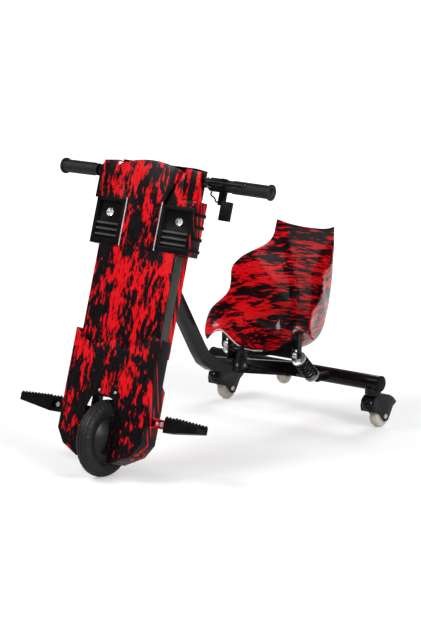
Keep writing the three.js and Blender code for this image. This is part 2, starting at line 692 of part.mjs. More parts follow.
function throttlePieces(frame) {
  const bore = handlebar.radius + gap;
  const t = throttle;
  const ring = (x0, x1, radius) => turnedX(
    [[bore, x0], [radius, x0], [radius, x1], [bore, x1], [bore, x0]], hub.segments,
  );
  const tail = block(
    t.inner + t.tailInset, t.inner + t.width - t.tailInset, -t.tailDepth, t.tailDepth, -t.tailDrop,
    -handlebar.radius,
  );
  const clamp = cut(
    join(ring(t.inner, t.inner + t.width, t.radius), tail),
    rodX(bore, t.inner - overrun, t.inner + t.width + overrun, 0, 0),
  );
  frame.add(mesh('throttle_body', clamp, 'blackPlastic'));
  const pivot = new THREE.Group();
  pivot.name = 'pivot_throttle_paddle';
  const start = t.inner + t.width + gap;
  const end = start + t.thickness;
  const arm = block(start, end, -t.depth / 2, t.depth / 2, -t.drop, -handlebar.radius);
  const pad = block(start, start + t.blockWidth, -t.depth, t.depth / 2, -t.drop, -t.drop + t.blockHeight);
  const paddle = cut(
    join(ring(start, end, t.ringRadius), arm, pad), rodX(bore, start - overrun, end + overrun, 0, 0),
  );
  pivot.add(mesh('throttle_paddle', paddle, 'blackPlastic'));
  frame.add(pivot);
}

function switchBoxShell() {
  const s = switchBox;
  const side = circleArc(s.radius, 0, Math.PI, s.arcSteps).map(([a, b]) => [a, b]);
  const body = plateYZ([...side, [-s.radius, -s.drop], [s.radius, -s.drop]], s.inner, s.inner + s.width);
  return mirroredX(cut(body, rodX(handlebar.radius + gap, s.inner - overrun, s.inner + s.width + overrun,
    0, 0)));
}

function circleArc(radius, from, to, steps) {
  return Array.from({ length: steps + 1 }, (_, i) => {
    const angle = from + ((to - from) * i) / steps;
    return [radius * Math.cos(angle), radius * Math.sin(angle)];
  });
}

function barClampBlock() {
  const { halfWidth, front, rear, top } = barClamp;
  const body = block(-halfWidth, halfWidth, front, rear, spine.top + gap, top);
  return cut(body, rodX(handlebar.radius + gap, -halfWidth - overrun, halfWidth + overrun, handlebar.y,
    handlebar.z));
}

// Cable from under the perch down to the side of the throttle's clamp
function throttleLead() {
  const x0 = perch.inner + 2 * cable.radius;
  const x1 = throttle.inner + throttle.tailInset - gap;
  const high = -perch.radius - gap;
  const low = -throttle.tailDrop + cable.endRise;
  const points = [
    new THREE.Vector3(x0, 0, high), new THREE.Vector3(x0, 0, high - cable.sag),
    new THREE.Vector3((x0 + x1) / 2, 0, (high + low) / 2 - cable.sag / 2),
    new THREE.Vector3(x1 - cable.sag, 0, low), new THREE.Vector3(x1, 0, low),
  ];
  return pipe(new THREE.CatmullRomCurve3(points), outline(circlePoints(cable.radius, cable.sides)),
    cable.steps);
}

function handlebarPieces() {
  const group = new THREE.Group();
  group.add(mesh('handlebar', handlebarTube(), 'blackGloss'));
  group.add(mesh('bar_clamp', barClampBlock(), 'aluminium'));
  const left = sweptFrame(1);
  const right = sweptFrame(-1);
  left.add(mesh('grip_left', gripSleeve(1), 'rubber'));
  right.add(mesh('grip_right', gripSleeve(-1), 'rubber'));
  right.add(mesh('switch_box', switchBoxShell(), 'blackPlastic'));
  throttlePieces(left);
  group.add(left, right);
  left.add(mesh('brake_perch', perchBody(), 'blackGloss'));
  left.add(mesh('throttle_cable', throttleLead(), 'blackPlastic'));
  left.add(leverPieces());
  return group;
}

// Folding foot pegs

function pegPieces(side, label) {
  const group = new THREE.Group();
  const { y, z, halfDepth, halfHeight, pocket } = pegBracket;
  const base = fork.inner + fork.wall + gap;
  const bracket = cut(
    block(base, pegBracket.reach, y - halfDepth, y + halfDepth, z - halfHeight, z + halfHeight),
    block(peg.boltX - peg.knuckle - gap, pegBracket.reach + overrun, y - pocket / 2, y + pocket / 2,
      z - halfHeight - overrun, z + halfHeight + overrun),
    rodX(axleNut.radius + gap, base - overrun, base + axleNut.length + overrun, 0, 0),
  );
  const pin = join(
    rodY(peg.boltRadius, y - halfDepth - gap - peg.pinHead, y + halfDepth + gap + peg.pinHead, peg.boltX,
      z, 16),
    rodY(peg.boltRadius + peg.pinHead, y - halfDepth - gap - peg.pinHead, y - halfDepth - gap, peg.boltX,
      z, 16),
    rodY(peg.boltRadius + peg.pinHead, y + halfDepth + gap, y + halfDepth + gap + peg.pinHead, peg.boltX,
      z, 16),
  );
  const pivot = new THREE.Group();
  pivot.name = `pivot_peg_${label}`;
  pivot.position.set(side * peg.boltX, y, z);
  const tongueHalf = pocket / 2 - peg.sideGap;
  const length = peg.tip - peg.boltX;
  const start = peg.knuckle + peg.stop;
  const toothPitch = (length - start) / peg.teeth;
  const topAt = (x) => peg.top + ((peg.tipTop - peg.top) * (x - start)) / (length - start);
  const teeth = [];
  for (let i = peg.teeth - 1; i >= 0; i -= 1) {
    const x = start + i * toothPitch;
    const middle = x + toothPitch / 2;
    teeth.push([x + toothPitch, topAt(x + toothPitch)], [middle, topAt(middle) + peg.tooth]);
  }
  const underside = [[start, -peg.root], [length, -peg.tipRoot]];
  const rail = (y0) => plateXZ([...teeth, [start, peg.top], ...underside].reverse(), y0, y0 + peg.rail);
  const web = plateXZ(
    [[length, topAt(length) - peg.webDrop], [start, peg.top - peg.webDrop], ...underside].reverse(),
    -peg.width / 2 + peg.rail / 2, peg.width / 2 - peg.rail / 2,
  );
  const pad = join(web, rail(-peg.width / 2), rail(peg.width / 2 - peg.rail));
  const tongue = block(0, start + overrun, -tongueHalf, tongueHalf, -peg.knuckle, peg.knuckle);
  const eye = rodY(peg.knuckle, -tongueHalf, tongueHalf, 0, 0);
  const bore = rodY(peg.boltRadius + gap, -peg.width, peg.width, 0, 0);
  const whole = cut(join(eye, tongue, pad), bore);
  pivot.add(mesh(`peg_${label}`, side > 0 ? whole : mirroredX(whole), 'blackPlastic'));
  const pinned = join(bracket, pin);
  group.add(mesh(`peg_bracket_${label}`, side > 0 ? pinned : mirroredX(pinned), 'streaked'));
  group.add(pivot);
  return group;
}

// Frame

function bentTube() {
  const top = raked(headTube.centre, kingpin.y);
  const bend = new THREE.Vector2(-tube.bendY, cross.z + tube.slope * tube.bendY);
  const tail = new THREE.Vector2(0, cross.z);
  const toHead = top.clone().sub(bend).normalize().multiplyScalar(tube.bendReach).add(bend);
  const toTail = tail.clone().sub(bend).normalize().multiplyScalar(tube.bendReach).add(bend);
  const at = (p) => new THREE.Vector3(0, p.x, p.y);
  const path = new THREE.CurvePath();
  path.add(new THREE.LineCurve3(at(top), at(toHead)));
  path.add(new THREE.QuadraticBezierCurve3(at(toHead), at(bend), at(toTail)));
  path.add(new THREE.LineCurve3(at(toTail), at(tail)));
  const rectangle = (inset) => [
    [-tube.width / 2 + inset, -tube.depth / 2 + inset], [tube.width / 2 - inset, -tube.depth / 2 + inset],
    [tube.width / 2 - inset, tube.depth / 2 - inset], [-tube.width / 2 + inset, tube.depth / 2 - inset],
  ];
  const section = outline(rectangle(0));
  section.holes.push(new THREE.Path(rectangle(tube.wall).map(([a, b]) => new THREE.Vector2(a, b))));
  const whole = pipe(path, section, tube.steps);
  const head = (radius, extra) => {
    return rodZ(radius, headBottom - extra, headTop + extra, 0, kingpin.y).applyMatrix4(rakedMatrix);
  };
  const crossRoom = rodX(cross.radius + gap, -tube.width, tube.width, 0, cross.z, 2 * cross.segments);
  const slot = block(
    -roller.slotHalf, roller.slotHalf, roller.y - roller.radius - overrun, roller.y + roller.radius + overrun,
    0, roller.z + roller.slotRise,
  );
  const reach = tube.width / 2;
  const welded = cut(join(whole, head(headTube.outer, 0)), head(headTube.inner, overrun), crossRoom, slot);
  return join(welded, crossPin(roller.pinRadius, 0, reach, roller.y, roller.z));
}

const rakedFrame = new THREE.Group();
rakedFrame.position.set(0, -wheelBase, tyre.radius);
rakedFrame.rotation.x = -rake;
rakedFrame.updateMatrixWorld(true);
const rakedMatrix = rakedFrame.matrixWorld.clone();

// A point up the column and back from it, as Y and Z of the whole trike
function raked(up, back) {
  const point = new THREE.Vector3(0, back, up).applyMatrix4(rakedMatrix);
  return new THREE.Vector2(point.y, point.z);
}

function bushPieces() {
  const group = new THREE.Group();
  group.applyMatrix4(rakedMatrix);
  const bore = kingpin.radius + gap;
  const sleeve = headTube.inner - gap;
  const profile = [
    [bore, -bush.flange], [bush.flangeRadius, -bush.flange], [bush.flangeRadius, -gap], [sleeve, -gap],
    [sleeve, bush.depth], [bore, bush.depth], [bore, -bush.flange],
  ];
  const turned = (flip) => {
    const ring = new THREE.LatheGeometry(profile.map(([r, z]) => new THREE.Vector2(r, z)), hub.segments);
    return flip ? ring.rotateX(-quarterTurn) : ring.rotateX(quarterTurn);
  };
  group.add(mesh('bush_lower', turned(false).translate(0, kingpin.y, headBottom), 'steel'));
  group.add(mesh('bush_upper', turned(true).translate(0, kingpin.y, headTop), 'steel'));
  return group;
}

function crossTube() {
  const inner = cross.radius - cross.wall;
  return turnedX(
    [[inner, -cross.halfLength], [cross.radius, -cross.halfLength], [cross.radius, cross.halfLength],
      [inner, cross.halfLength], [inner, -cross.halfLength]],
    cross.segments,
  ).translate(0, 0, cross.z);
}

function endCapPlug(side) {
  const inner = cross.radius - cross.wall - gap;
  const plug = turnedX(
    [[0, cross.halfLength - endCap.depth], [inner, cross.halfLength - endCap.depth],
      [inner, cross.halfLength + gap],
      [endCap.rim, cross.halfLength + gap], [endCap.rim, cross.halfLength + endCap.thickness],
      [0, cross.halfLength + endCap.thickness]],
    cross.segments,
  );
  if (side < 0) plug.rotateZ(Math.PI);
  return plug.translate(0, 0, cross.z);
}

function stubSocket(side) {
  const reach = 2 * stub.radius;
  return cut(
    rodZ(stub.radius, stub.bottom, stub.top, side * stub.x, 0),
    rodX(cross.radius - cross.wall / 2, side * stub.x - reach, side * stub.x + reach, 0, cross.z),
    rodZ(
      casterSize.stemRadius + gap, stub.bottom - overrun, stub.bottom + casterSize.stemTop + 2 * gap,
      side * stub.x, 0,
    ),
  );
}

// The cross tube with what is welded to it
function rearWeldment() {
  const welded = [-1, 1].flatMap((side) => [stubSocket(side), shockBracketBody(side)]);
  return join(crossTube(), ...welded);
}

// Casters

function casterPieces(side, label) {
  const swivel = new THREE.Group();
  swivel.name = `pivot_caster_swivel_${label}`;
  swivel.position.set(side * stub.x, 0, stub.bottom);
  const drop = -stub.bottom;
  const c = casterSize;
  const hoodSide = hoodShares.map(([a, b]) => [a * hood.length, drop + b * (stub.bottom - hood.seatGap)]);
  const ball = new THREE.SphereGeometry(hood.ballRadius, 16, 10).translate(0, hood.ballY, drop + hood.ballZ);
  const body = join(plateYZ(hoodSide, -hood.halfWidth, hood.halfWidth), ball);
  const wheelZ = drop + c.wheelRadius;
  const room = rodX(c.wheelRadius + c.cheekGap, -c.wheelWidth / 2 - c.cheekGap, c.wheelWidth / 2 + c.cheekGap,
    c.trail, wheelZ);
  const below = block(
    -c.wheelWidth / 2 - c.cheekGap, c.wheelWidth / 2 + c.cheekGap, c.trail - c.wheelRadius - c.cheekGap,
    c.trail + c.wheelRadius + c.cheekGap, drop - overrun, wheelZ,
  );
  const stem = rodZ(c.stemRadius, drop + c.stemLow, c.stemTop, 0, 0, 20);
  const pin = crossPin(c.pinRadius, 0, hood.halfWidth, c.trail, wheelZ);
  const whole = join(cut(body, room, below), stem, pin);
  swivel.add(mesh(`caster_hood_${label}`, whole, 'blackPlastic'));
  const roll = new THREE.Group();
  roll.name = `pivot_caster_wheel_${label}`;
  roll.position.set(0, c.trail, wheelZ);
  roll.add(mesh(`caster_wheel_${label}`, smallWheel(c.wheelRadius, c.wheelWidth, c.pinRadius + gap),
    'translucent'));
  swivel.add(roll);
  return swivel;
}

function smallWheel(radius, width, bore) {
  const half = width / 2;
  const edge = radius * 0.9;
  return turnedX(
    [[bore, -half], [edge, -half], [radius, -half / 3], [radius, half / 3], [edge, half], [bore, half],
      [bore, -half]],
    hub.segments,
  );
}

// Sprung seat

const seatRim = [
  [180, -165, 240], [178, -177, 262], [170, -163, 315], [155, -96, 361],
  [152, -85, 420], [149, -49, 440], [105, 26, 480], [95, 41, 532],
];
const seatSpine = [
  [-165, 212], [-120, 205], [-40, 196], [20, 205], [52, 250], [60, 350], [55, 450], [56, 517],
];
const crestShares = [1, 0.62, 0.2, 0, 0, 0, 0, 0];

const rimCurve = new THREE.CatmullRomCurve3(seatRim.map(([x, y, z]) => new THREE.Vector3(x, y, z)));
const spineCurve = new THREE.CatmullRomCurve3(seatSpine.map(([y, z]) => new THREE.Vector3(0, y, z)));
const crestCurve = new THREE.CatmullRomCurve3(crestShares.map((share) => new THREE.Vector3(share, 0, 0)));

// A point of the seat's upper face: across from -1 to 1, along from 0 at the front lip to 1 at the top
function seatPoint(across, along) {
  const side = Math.abs(across);
  const rim = rimCurve.getPoint(along);
  const middle = spineCurve.getPoint(along);
  const crest = Math.max(0, crestCurve.getPoint(along).x) * seat.crest;
  const rise = side ** 2.6;
  const bump = Math.sin(Math.PI * Math.min(1, side ** 2.3)) ** 1.3;
  const twist = seat.twist * across * (1 - along);
  return new THREE.Vector3(
    across * rim.x, middle.y + (rim.y - middle.y) * rise,
    middle.z + (rim.z - middle.z) * rise + crest * bump + twist,
  );
}

function seatNormal(across, along) {
  const step = 1e-3;
  const a0 = Math.max(-1, across - step);
  const a1 = Math.min(1, across + step);
  const b0 = Math.max(0, along - step);
  const b1 = Math.min(1, along + step);
  const du = seatPoint(a1, along).sub(seatPoint(a0, along));
  const dv = seatPoint(across, b1).sub(seatPoint(across, b0));
  return du.cross(dv).normalize();
}

// A slab between two offsets of the seat's upper face, over part of its length
function seatSlab(alongEnd, rows, lower, upper) {
  const { columns } = seat;
  const rings = [];
  for (let j = 0; j <= rows; j += 1) {
    const along = (alongEnd * j) / rows;
    const top = [];
    const under = [];
    for (let i = 0; i <= columns; i += 1) {
      const across = (2 * i) / columns - 1;
      const point = seatPoint(across, along);
      const normal = seatNormal(across, along);
      top.push(upper(point, normal));
      under.push(lower(point, normal));
    }
    rings.push([...top, ...under.reverse()]);
  }
  const count = 2 * (columns + 1);
  const positions = rings.flat().flatMap((p) => [p.x, p.y, p.z]);
  const index = [];
  const quad = (a, b, c, d) => index.push(a, b, c, a, c, d);
  for (let j = 0; j < rows; j += 1) {
    for (let i = 0; i < count; i += 1) {
      const next = (i + 1) % count;
      quad(j * count + i, j * count + next, (j + 1) * count + next, (j + 1) * count + i);
    }
  }
  for (let i = 0; i < columns; i += 1) {
    const opposite = count - 1 - i;
    quad(i, opposite, opposite - 1, i + 1);
    const end = rows * count;
    quad(end + i, end + i + 1, end + opposite - 1, end + opposite);
  }
  const geometry = new THREE.BufferGeometry();
  geometry.setAttribute('position', new THREE.Float32BufferAttribute(positions, 3));
  geometry.setIndex(index);
  return geometry;
}

function seatShell() {
  return seatSlab(1, seat.rows, (p, n) => p.clone().addScaledVector(n, -seat.thickness), (p) => p);
}

// What must stay clear under the front part of the shell
function seatDie() {
  const lift = seat.dieLift;
  return seatSlab(
    seat.dieShare, seat.rows / 2,
    (p, n) => p.clone().addScaledVector(n, -seat.thickness - gap),
    (p) => new THREE.Vector3(p.x, p.y, p.z + lift),
  );
}

function seatPieces() {
  const pivot = new THREE.Group();
  pivot.name = 'pivot_seat';
  pivot.position.set(0, seatMount.hingeY, seatMount.hingeZ);
  const inner = new THREE.Group();
  inner.position.set(0, -seatMount.hingeY, -seatMount.hingeZ);
  pivot.add(inner);
  inner.add(mesh('seat_shell', seatShell(), 'streaked'));
  const die = seatDie();
  const m = seatMount;
  const p = underPlate;
  const hingeBore = rodX(m.pin + gap, -2 * m.lugHalf, 2 * m.lugHalf, m.hingeY, m.hingeZ);
  const plate = plateYZ(
    [[m.hingeY, p.low], [shock.topY, p.middleLow], [p.rear, p.rearLow], [p.rear, p.high], [p.lipY, p.high],
      [p.lipY, p.lipHigh], [m.hingeY, p.frontHigh]],
    -m.lugHalf, m.lugHalf,
  );
  const eye = rodX(p.eyeRadius, -m.lugHalf, m.lugHalf, m.hingeY, m.hingeZ);
  const u = uBracket;
  const outer = u.halfGap + u.wall;
  const tie = block(
    -shock.x, shock.x, shock.topY - u.tie, shock.topY + u.tie, u.tieLow, u.high,
  );
  const brackets = [-1, 1].map((side) => block(
    side * shock.x - outer, side * shock.x + outer, shock.topY - u.halfLength, shock.topY + u.halfLength,
    shock.topZ - u.earDrop, u.high,
  ));
  const rooms = [-1, 1].map((side) => block(
    side * shock.x - u.halfGap, side * shock.x + u.halfGap, shock.topY - 2 * u.halfLength,
    shock.topY + 2 * u.halfLength, shock.topZ - 2 * u.earDrop, shock.topZ + shock.eyeRadius + u.roof,
  ));
  const pins = [-1, 1].map((side) => crossPin(shock.bolt, side * shock.x, outer, shock.topY, shock.topZ));
  const bare = cut(join(plate, eye, tie, ...brackets), die, hingeBore, ...rooms);
  inner.add(mesh('seat_underframe', join(bare, ...pins), 'blackGloss'));
  return pivot;
}

// A pin along X with a hex head outside each of the two ears that hold it
function crossPin(radius, x, reach, y, z) {
  return join(
    rodX(radius, x - reach - bolt.head, x + reach + bolt.head, y, z, 12),
    rodX(radius + bolt.head, x + reach - bolt.seat, x + reach + bolt.head, y, z, 6),
    rodX(radius + bolt.head, x - reach - bolt.head, x - reach + bolt.seat, y, z, 6),
  );
}

// Shock absorbers: each has its own frame with Z along the damper, from the lower bolt up

const shockRun = Math.hypot(shock.topY - shock.lowY, shock.topZ - shock.lowZ);
const shockLean = Math.atan2(shock.lowY - shock.topY, shock.topZ - shock.lowZ);

function springCoil(low, high) {
  const { wire, radius, turns, stepsPerTurn, sides, endLift } = spring;
  const count = turns * stepsPerTurn;
  const rings = [];
  const pitchRun = high - low - 2 * (wire + endLift);
  const lead = 2 * wire;
  const centre = (t) => {
    const angle = t * turns * 2 * Math.PI;
    return new THREE.Vector3(radius * Math.cos(angle), radius * Math.sin(angle),
      low + wire + endLift + pitchRun * t);
  };
  const stations = Array.from({ length: count + 1 }, (_, i) => {
    const t = i / count;
    const ahead = centre(t + 1 / (10 * count)).sub(centre(t - 1 / (10 * count))).normalize();
    return { at: centre(t), ahead };
  });
  const first = stations[0];
  const last = stations[count];
  stations.unshift({ at: first.at.clone().addScaledVector(first.ahead, -lead), ahead: first.ahead });
  stations.push({ at: last.at.clone().addScaledVector(last.ahead, lead), ahead: last.ahead });
  for (const { at, ahead } of stations) {
    const out = new THREE.Vector3(at.x, at.y, 0).normalize();
    const across = out.clone().addScaledVector(ahead, -out.dot(ahead)).normalize();
    const up = ahead.clone().cross(across);
    rings.push(Array.from({ length: sides }, (_, k) => {
      const angle = (k / sides) * 2 * Math.PI;
      return at.clone().addScaledVector(across, wire * Math.cos(angle)).addScaledVector(up,
        wire * Math.sin(angle));
    }));
  }
  const index = [];
  for (let j = 0; j < rings.length - 1; j += 1) {
    for (let k = 0; k < sides; k += 1) {
      const next = (k + 1) % sides;
      const [a, b] = [j * sides + k, j * sides + next];
      index.push(a, b, b + sides, a, b + sides, a + sides);
    }
  }
  const end = (rings.length - 1) * sides;
  for (let k = 1; k < sides - 1; k += 1) {
    index.push(0, k + 1, k, end, end + k, end + k + 1);
  }
  const geometry = new THREE.BufferGeometry();
  const positions = rings.flat().flatMap((p) => [p.x, p.y, p.z]);
  geometry.setAttribute('position', new THREE.Float32BufferAttribute(positions, 3));
  geometry.setIndex(index);
  let least = Infinity;
  for (let i = 1; i < stations.length - 1; i += 1) {
    for (let j = i + stepsPerTurn / 2; j < stations.length - 1; j += 1) {
      least = Math.min(least, stations[i].at.distanceTo(stations[j].at) - 2 * wire);
    }
  }
  console.log(`spring coil: least gap between turns ${least.toFixed(2)} mm`);
  return geometry;
}

function shockPieces(side, label) {
  const s = shock;
  const low = new THREE.Group();
  low.name = `pivot_shock_${label}`;
  low.position.set(side * s.x, s.lowY, s.lowZ);
  low.rotation.x = shockLean;
  const collarLow = s.eyeRadius + s.lowerReach;
  const collarHigh = shockRun - s.eyeRadius - s.upperReach;
  const bore = (z, room) => rodX(s.bolt + room, -2 * s.eyeHalf, 2 * s.eyeHalf, 0, z);
  const lowerEye = rodX(s.eyeRadius, -s.eyeHalf, s.eyeHalf, 0, 0);
  const body = rodZ(s.bodyRadius, s.eyeRadius / 2, collarLow + s.bodyLength, 0, 0);
  const seatLow = rodZ(s.collar, collarLow, collarLow + s.collarThickness, 0, 0);
  const rodRoom = rodZ(s.rodRadius + gap, collarLow + s.collarThickness, shockRun, 0, 0);
  low.add(mesh(`shock_body_${label}`, cut(join(lowerEye, body, seatLow), bore(0, gap), rodRoom), 'steel'));
  const upper = join(
    rodX(s.eyeRadius, -s.eyeHalf, s.eyeHalf, 0, shockRun),
    rodZ(s.rodRadius, collarLow + s.collarThickness + s.travel, shockRun - s.eyeRadius / 2, 0, 0),
    rodZ(s.collar, collarHigh - s.collarThickness, collarHigh, 0, 0),
    rodZ(s.bodyRadius, collarHigh - s.collarThickness, shockRun - s.eyeRadius / 2, 0, 0),
  );
  low.add(mesh(`shock_rod_${label}`, cut(upper, bore(shockRun, s.bushing)), 'steel'));
  const coil = springCoil(collarLow + s.collarThickness + gap, collarHigh - s.collarThickness - gap);
  low.add(mesh(`shock_spring_${label}`, coil, 'blackGloss'));
  return low;
}

function shockBracketBody(side) {
  const b = shockBracket;
  const x = side * shock.x;
  const outer = b.halfGap + b.wall;
  const body = join(
    block(x - outer, x + outer, shock.lowY - b.nose, -cross.radius * 0.7, shock.lowZ - b.height,
      shock.lowZ + b.height),
    rodX(b.height, x - outer, x + outer, shock.lowY - b.nose, shock.lowZ),
  );
  const room = block(x - b.halfGap, x + b.halfGap, shock.lowY - 3 * b.height,
    shock.lowY + shock.eyeRadius + b.roof,
    shock.lowZ - 2 * b.height, shock.lowZ + 2 * b.height);
  const crossRoom = rodX(cross.radius - cross.wall / 2, x - 2 * outer, x + 2 * outer, 0, cross.z);
  return join(cut(body, room, crossRoom), crossPin(shock.bolt, x, outer, shock.lowY, shock.lowZ));
}

function seatMountBody() {
  const m = seatMount;
  const top = beamTop(m.hingeY);
  const half = m.lugHalf + m.earGap;
  const ear = (x0) => plateYZ(
    [[m.hingeY - m.baseHalf, top - m.baseHalf], [m.hingeY + m.baseHalf, top - m.baseHalf],
      [m.hingeY + m.earTop, m.hingeZ + m.earTop], [m.hingeY - m.earTop, m.hingeZ + m.earTop]],
    x0, x0 + m.ear,
  );
  const base = block(-half - overrun, half + overrun, m.hingeY - m.baseHalf, m.hingeY + m.baseHalf,
    top - m.baseHalf, top + m.baseRise);
  const beam = beamRoom(gap);
  const reach = half + m.ear;
  return join(cut(join(ear(-reach), ear(half), base), beam), crossPin(m.pin, 0, reach, m.hingeY, m.hingeZ));
}

// Height of the main tube's upper face at a distance along the trike
function beamTop(y) {
  return cross.z - tube.slope * y + (tube.depth / 2) * Math.hypot(1, tube.slope);
}

// The space that the rear part of the main tube fills, with a clearance
function beamRoom(clearance) {
  const half = tube.width / 2 + clearance;
  const rise = (tube.depth / 2 + clearance) * Math.hypot(1, tube.slope);
  const at = (y, sign) => [y, cross.z - tube.slope * y + sign * rise];
  const front = -tube.bendY + tube.bendReach / 2;
  return plateYZ([at(front, -1), at(0, -1), at(0, 1), at(front, 1)], -half, half);
}

function framePieces() {
  const group = new THREE.Group();
  group.add(mesh('main_tube', bentTube(), 'blackGloss'));
  group.add(mesh('cross_tube', rearWeldment(), 'blackGloss'));
  group.add(bushPieces());
  group.add(mesh('seat_mount', seatMountBody(), 'blackGloss'));
  for (const [side, label] of [[-1, 'right'], [1, 'left']]) {
    group.add(mesh(`end_cap_${label}`, endCapPlug(side), 'blackPlastic'));
    group.add(casterPieces(side, label));
    group.add(shockPieces(side, label));
  }
  const spin = new THREE.Group();
  spin.name = 'pivot_belly_roller';
  spin.position.set(0, roller.y, roller.z);
  spin.add(mesh('belly_roller', smallWheel(roller.radius, roller.width, roller.pinRadius + gap),
    'translucent'));
  group.add(spin);
  return group;
}

// Assembly

function trike() {
  const all = new THREE.Group();
  all.add(framePieces());
  all.add(seatPieces());
  const steering = new THREE.Group();
  steering.applyMatrix4(rakedMatrix);
  const turning = new THREE.Group();
  turning.name = 'pivot_steering';
  turning.position.set(0, kingpin.y, headTube.centre);
  steering.add(turning);
  steering.add(columnStructure(), mesh('front_axle', axleWithNuts(), 'steel'), coverPieces(), powerPieces());
  steering.add(handlebarPieces());
  steering.add(pegPieces(-1, 'right'), pegPieces(1, 'left'));
  const wheel = wheelPieces();
  wheel.name = 'pivot_front_wheel';
  steering.add(wheel);
  all.add(steering);
  all.updateMatrixWorld(true);
  const size = new THREE.Box3().setFromObject(all, true);
  const middle = size.getCenter(new THREE.Vector3());
  all.position.set(0, -middle.y, 0);
  return all;
}

export default trike();
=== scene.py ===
import json
import math

import bmesh
import bpy
from mathutils import Matrix, Vector


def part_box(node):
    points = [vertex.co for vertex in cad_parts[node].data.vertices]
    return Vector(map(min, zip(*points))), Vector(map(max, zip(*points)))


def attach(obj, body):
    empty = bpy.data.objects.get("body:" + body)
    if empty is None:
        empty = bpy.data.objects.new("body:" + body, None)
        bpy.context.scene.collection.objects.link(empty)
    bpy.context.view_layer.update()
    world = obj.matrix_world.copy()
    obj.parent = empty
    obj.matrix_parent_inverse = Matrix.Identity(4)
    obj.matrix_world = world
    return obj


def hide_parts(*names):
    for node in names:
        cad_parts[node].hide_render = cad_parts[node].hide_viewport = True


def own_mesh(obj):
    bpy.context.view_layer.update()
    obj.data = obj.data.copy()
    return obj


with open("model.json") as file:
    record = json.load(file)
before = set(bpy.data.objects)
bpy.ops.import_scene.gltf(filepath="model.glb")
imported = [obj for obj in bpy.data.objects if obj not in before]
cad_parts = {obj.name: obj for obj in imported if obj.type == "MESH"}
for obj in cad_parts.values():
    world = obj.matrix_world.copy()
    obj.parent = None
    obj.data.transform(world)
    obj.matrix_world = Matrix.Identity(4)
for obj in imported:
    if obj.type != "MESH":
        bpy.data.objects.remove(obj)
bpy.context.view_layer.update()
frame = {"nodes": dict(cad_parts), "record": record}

# Places: mm in the raked column's frame or the level frame of the cross tube, metres in the scene

MM = 0.001
RAKE = math.radians(17.5)
WHEEL_BASE = 0.818
TYRE_RADIUS = 100.0
SIDES = ((1, "left"), (-1, "right"))

tyre_low, tyre_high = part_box("front_tyre")
AXLE = (Vector(tyre_low) + Vector(tyre_high)) / 2
AXLE.z = TYRE_RADIUS * MM
REAR_Y = AXLE.y + WHEEL_BASE
COLUMN = Matrix.Translation(AXLE) @ Matrix.Rotation(-RAKE, 4, "X")
LEVEL = Matrix.Translation((0, REAR_Y, 0))
TO_COLUMN = COLUMN.inverted()
TO_LEVEL = LEVEL.inverted()


def level(x, y, z):
    """A place behind or before the cross tube, in mm, as a point of the scene."""
    return LEVEL @ Vector((x * MM, y * MM, z * MM))


# Camera

LENS_LENGTH = 171.2
SENSOR = 36
CAMERA_RIGHT, CAMERA_BEFORE_REAR, CAMERA_HEIGHT = 4.775, 6.491, 2.04
CAMERA_DIP, CAMERA_TURN = 12.33, 38
CLIP_END = 60

camera_data = bpy.data.cameras.new("camera")
camera_data.sensor_fit = "VERTICAL"
camera_data.sensor_height = SENSOR
camera_data.sensor_width = SENSOR
camera_data.lens = LENS_LENGTH
camera_data.clip_end = CLIP_END
camera = bpy.data.objects.new("camera", camera_data)
bpy.context.scene.collection.objects.link(camera)
camera.location = (CAMERA_RIGHT, REAR_Y - CAMERA_BEFORE_REAR, CAMERA_HEIGHT)
camera.rotation_euler = (math.radians(90 - CAMERA_DIP), 0, math.radians(CAMERA_TURN))
bpy.context.scene.camera = camera


# Materials

COAT_ROUGHNESS = 0.06


def shader(name, roughness=0.4, metallic=0.0, coat=0.0, **extra):
    """A new material with its nodes, links and main shader."""
    made = bpy.data.materials.new(name)
    made.use_nodes = True
    nodes = made.node_tree.nodes
    main = nodes["Principled BSDF"]
    main.inputs["Roughness"].default_value = roughness
    main.inputs["Metallic"].default_value = metallic
    main.inputs["Coat Weight"].default_value = coat
    main.inputs["Coat Roughness"].default_value = COAT_ROUGHNESS
    for key, value in extra.items():
        main.inputs[key.replace("_", " ")].default_value = value
    return made, nodes, made.node_tree.links, main


def ramp(nodes, links, factor, stops, mode="LINEAR"):
    """A colour ramp read by a factor, from (position, colour) stops."""
    made = nodes.new("ShaderNodeValToRGB")
    made.color_ramp.interpolation = mode
    points = made.color_ramp.elements
    while len(points) > 1:
        points.remove(points[0])
    points[0].position = stops[0][0]
    points[0].color = (*stops[0][1], 1)
    for place, colour in stops[1:]:
        points.new(place).color = (*colour, 1)
    links.new(factor, made.inputs["Fac"])
    return made.outputs["Color"]


def grain(nodes, links, vector, scale, detail=3.0, roughness=0.5, distortion=0.0):
    """A noise texture on a vector."""
    made = nodes.new("ShaderNodeTexNoise")
    made.inputs["Scale"].default_value = scale
    made.inputs["Detail"].default_value = detail
    made.inputs["Roughness"].default_value = roughness
    made.inputs["Distortion"].default_value = distortion
    links.new(vector, made.inputs["Vector"])
    return made.outputs["Fac"]


def own_place(nodes):
    """The piece's own coordinates, which are the scene's at rest."""
    return nodes.new("ShaderNodeTexCoord").outputs["Object"]


def stretched(nodes, links, vector, scale, turn=(0, 0, 0)):
    """The vector turned, then scaled on each axis."""
    made = nodes.new("ShaderNodeMapping")
    made.vector_type = "POINT"
    made.inputs["Rotation"].default_value = turn
    made.inputs["Scale"].default_value = scale
    links.new(vector, made.inputs["Vector"])
    return made.outputs["Vector"]


def bump(nodes, links, main, height, strength, distance):
    """A height that bends the main shader's normal."""
    made = nodes.new("ShaderNodeBump")
    made.inputs["Strength"].default_value = strength
    made.inputs["Distance"].default_value = distance
    links.new(height, made.inputs["Height"])
    links.new(made.outputs["Normal"], main.inputs["Normal"])


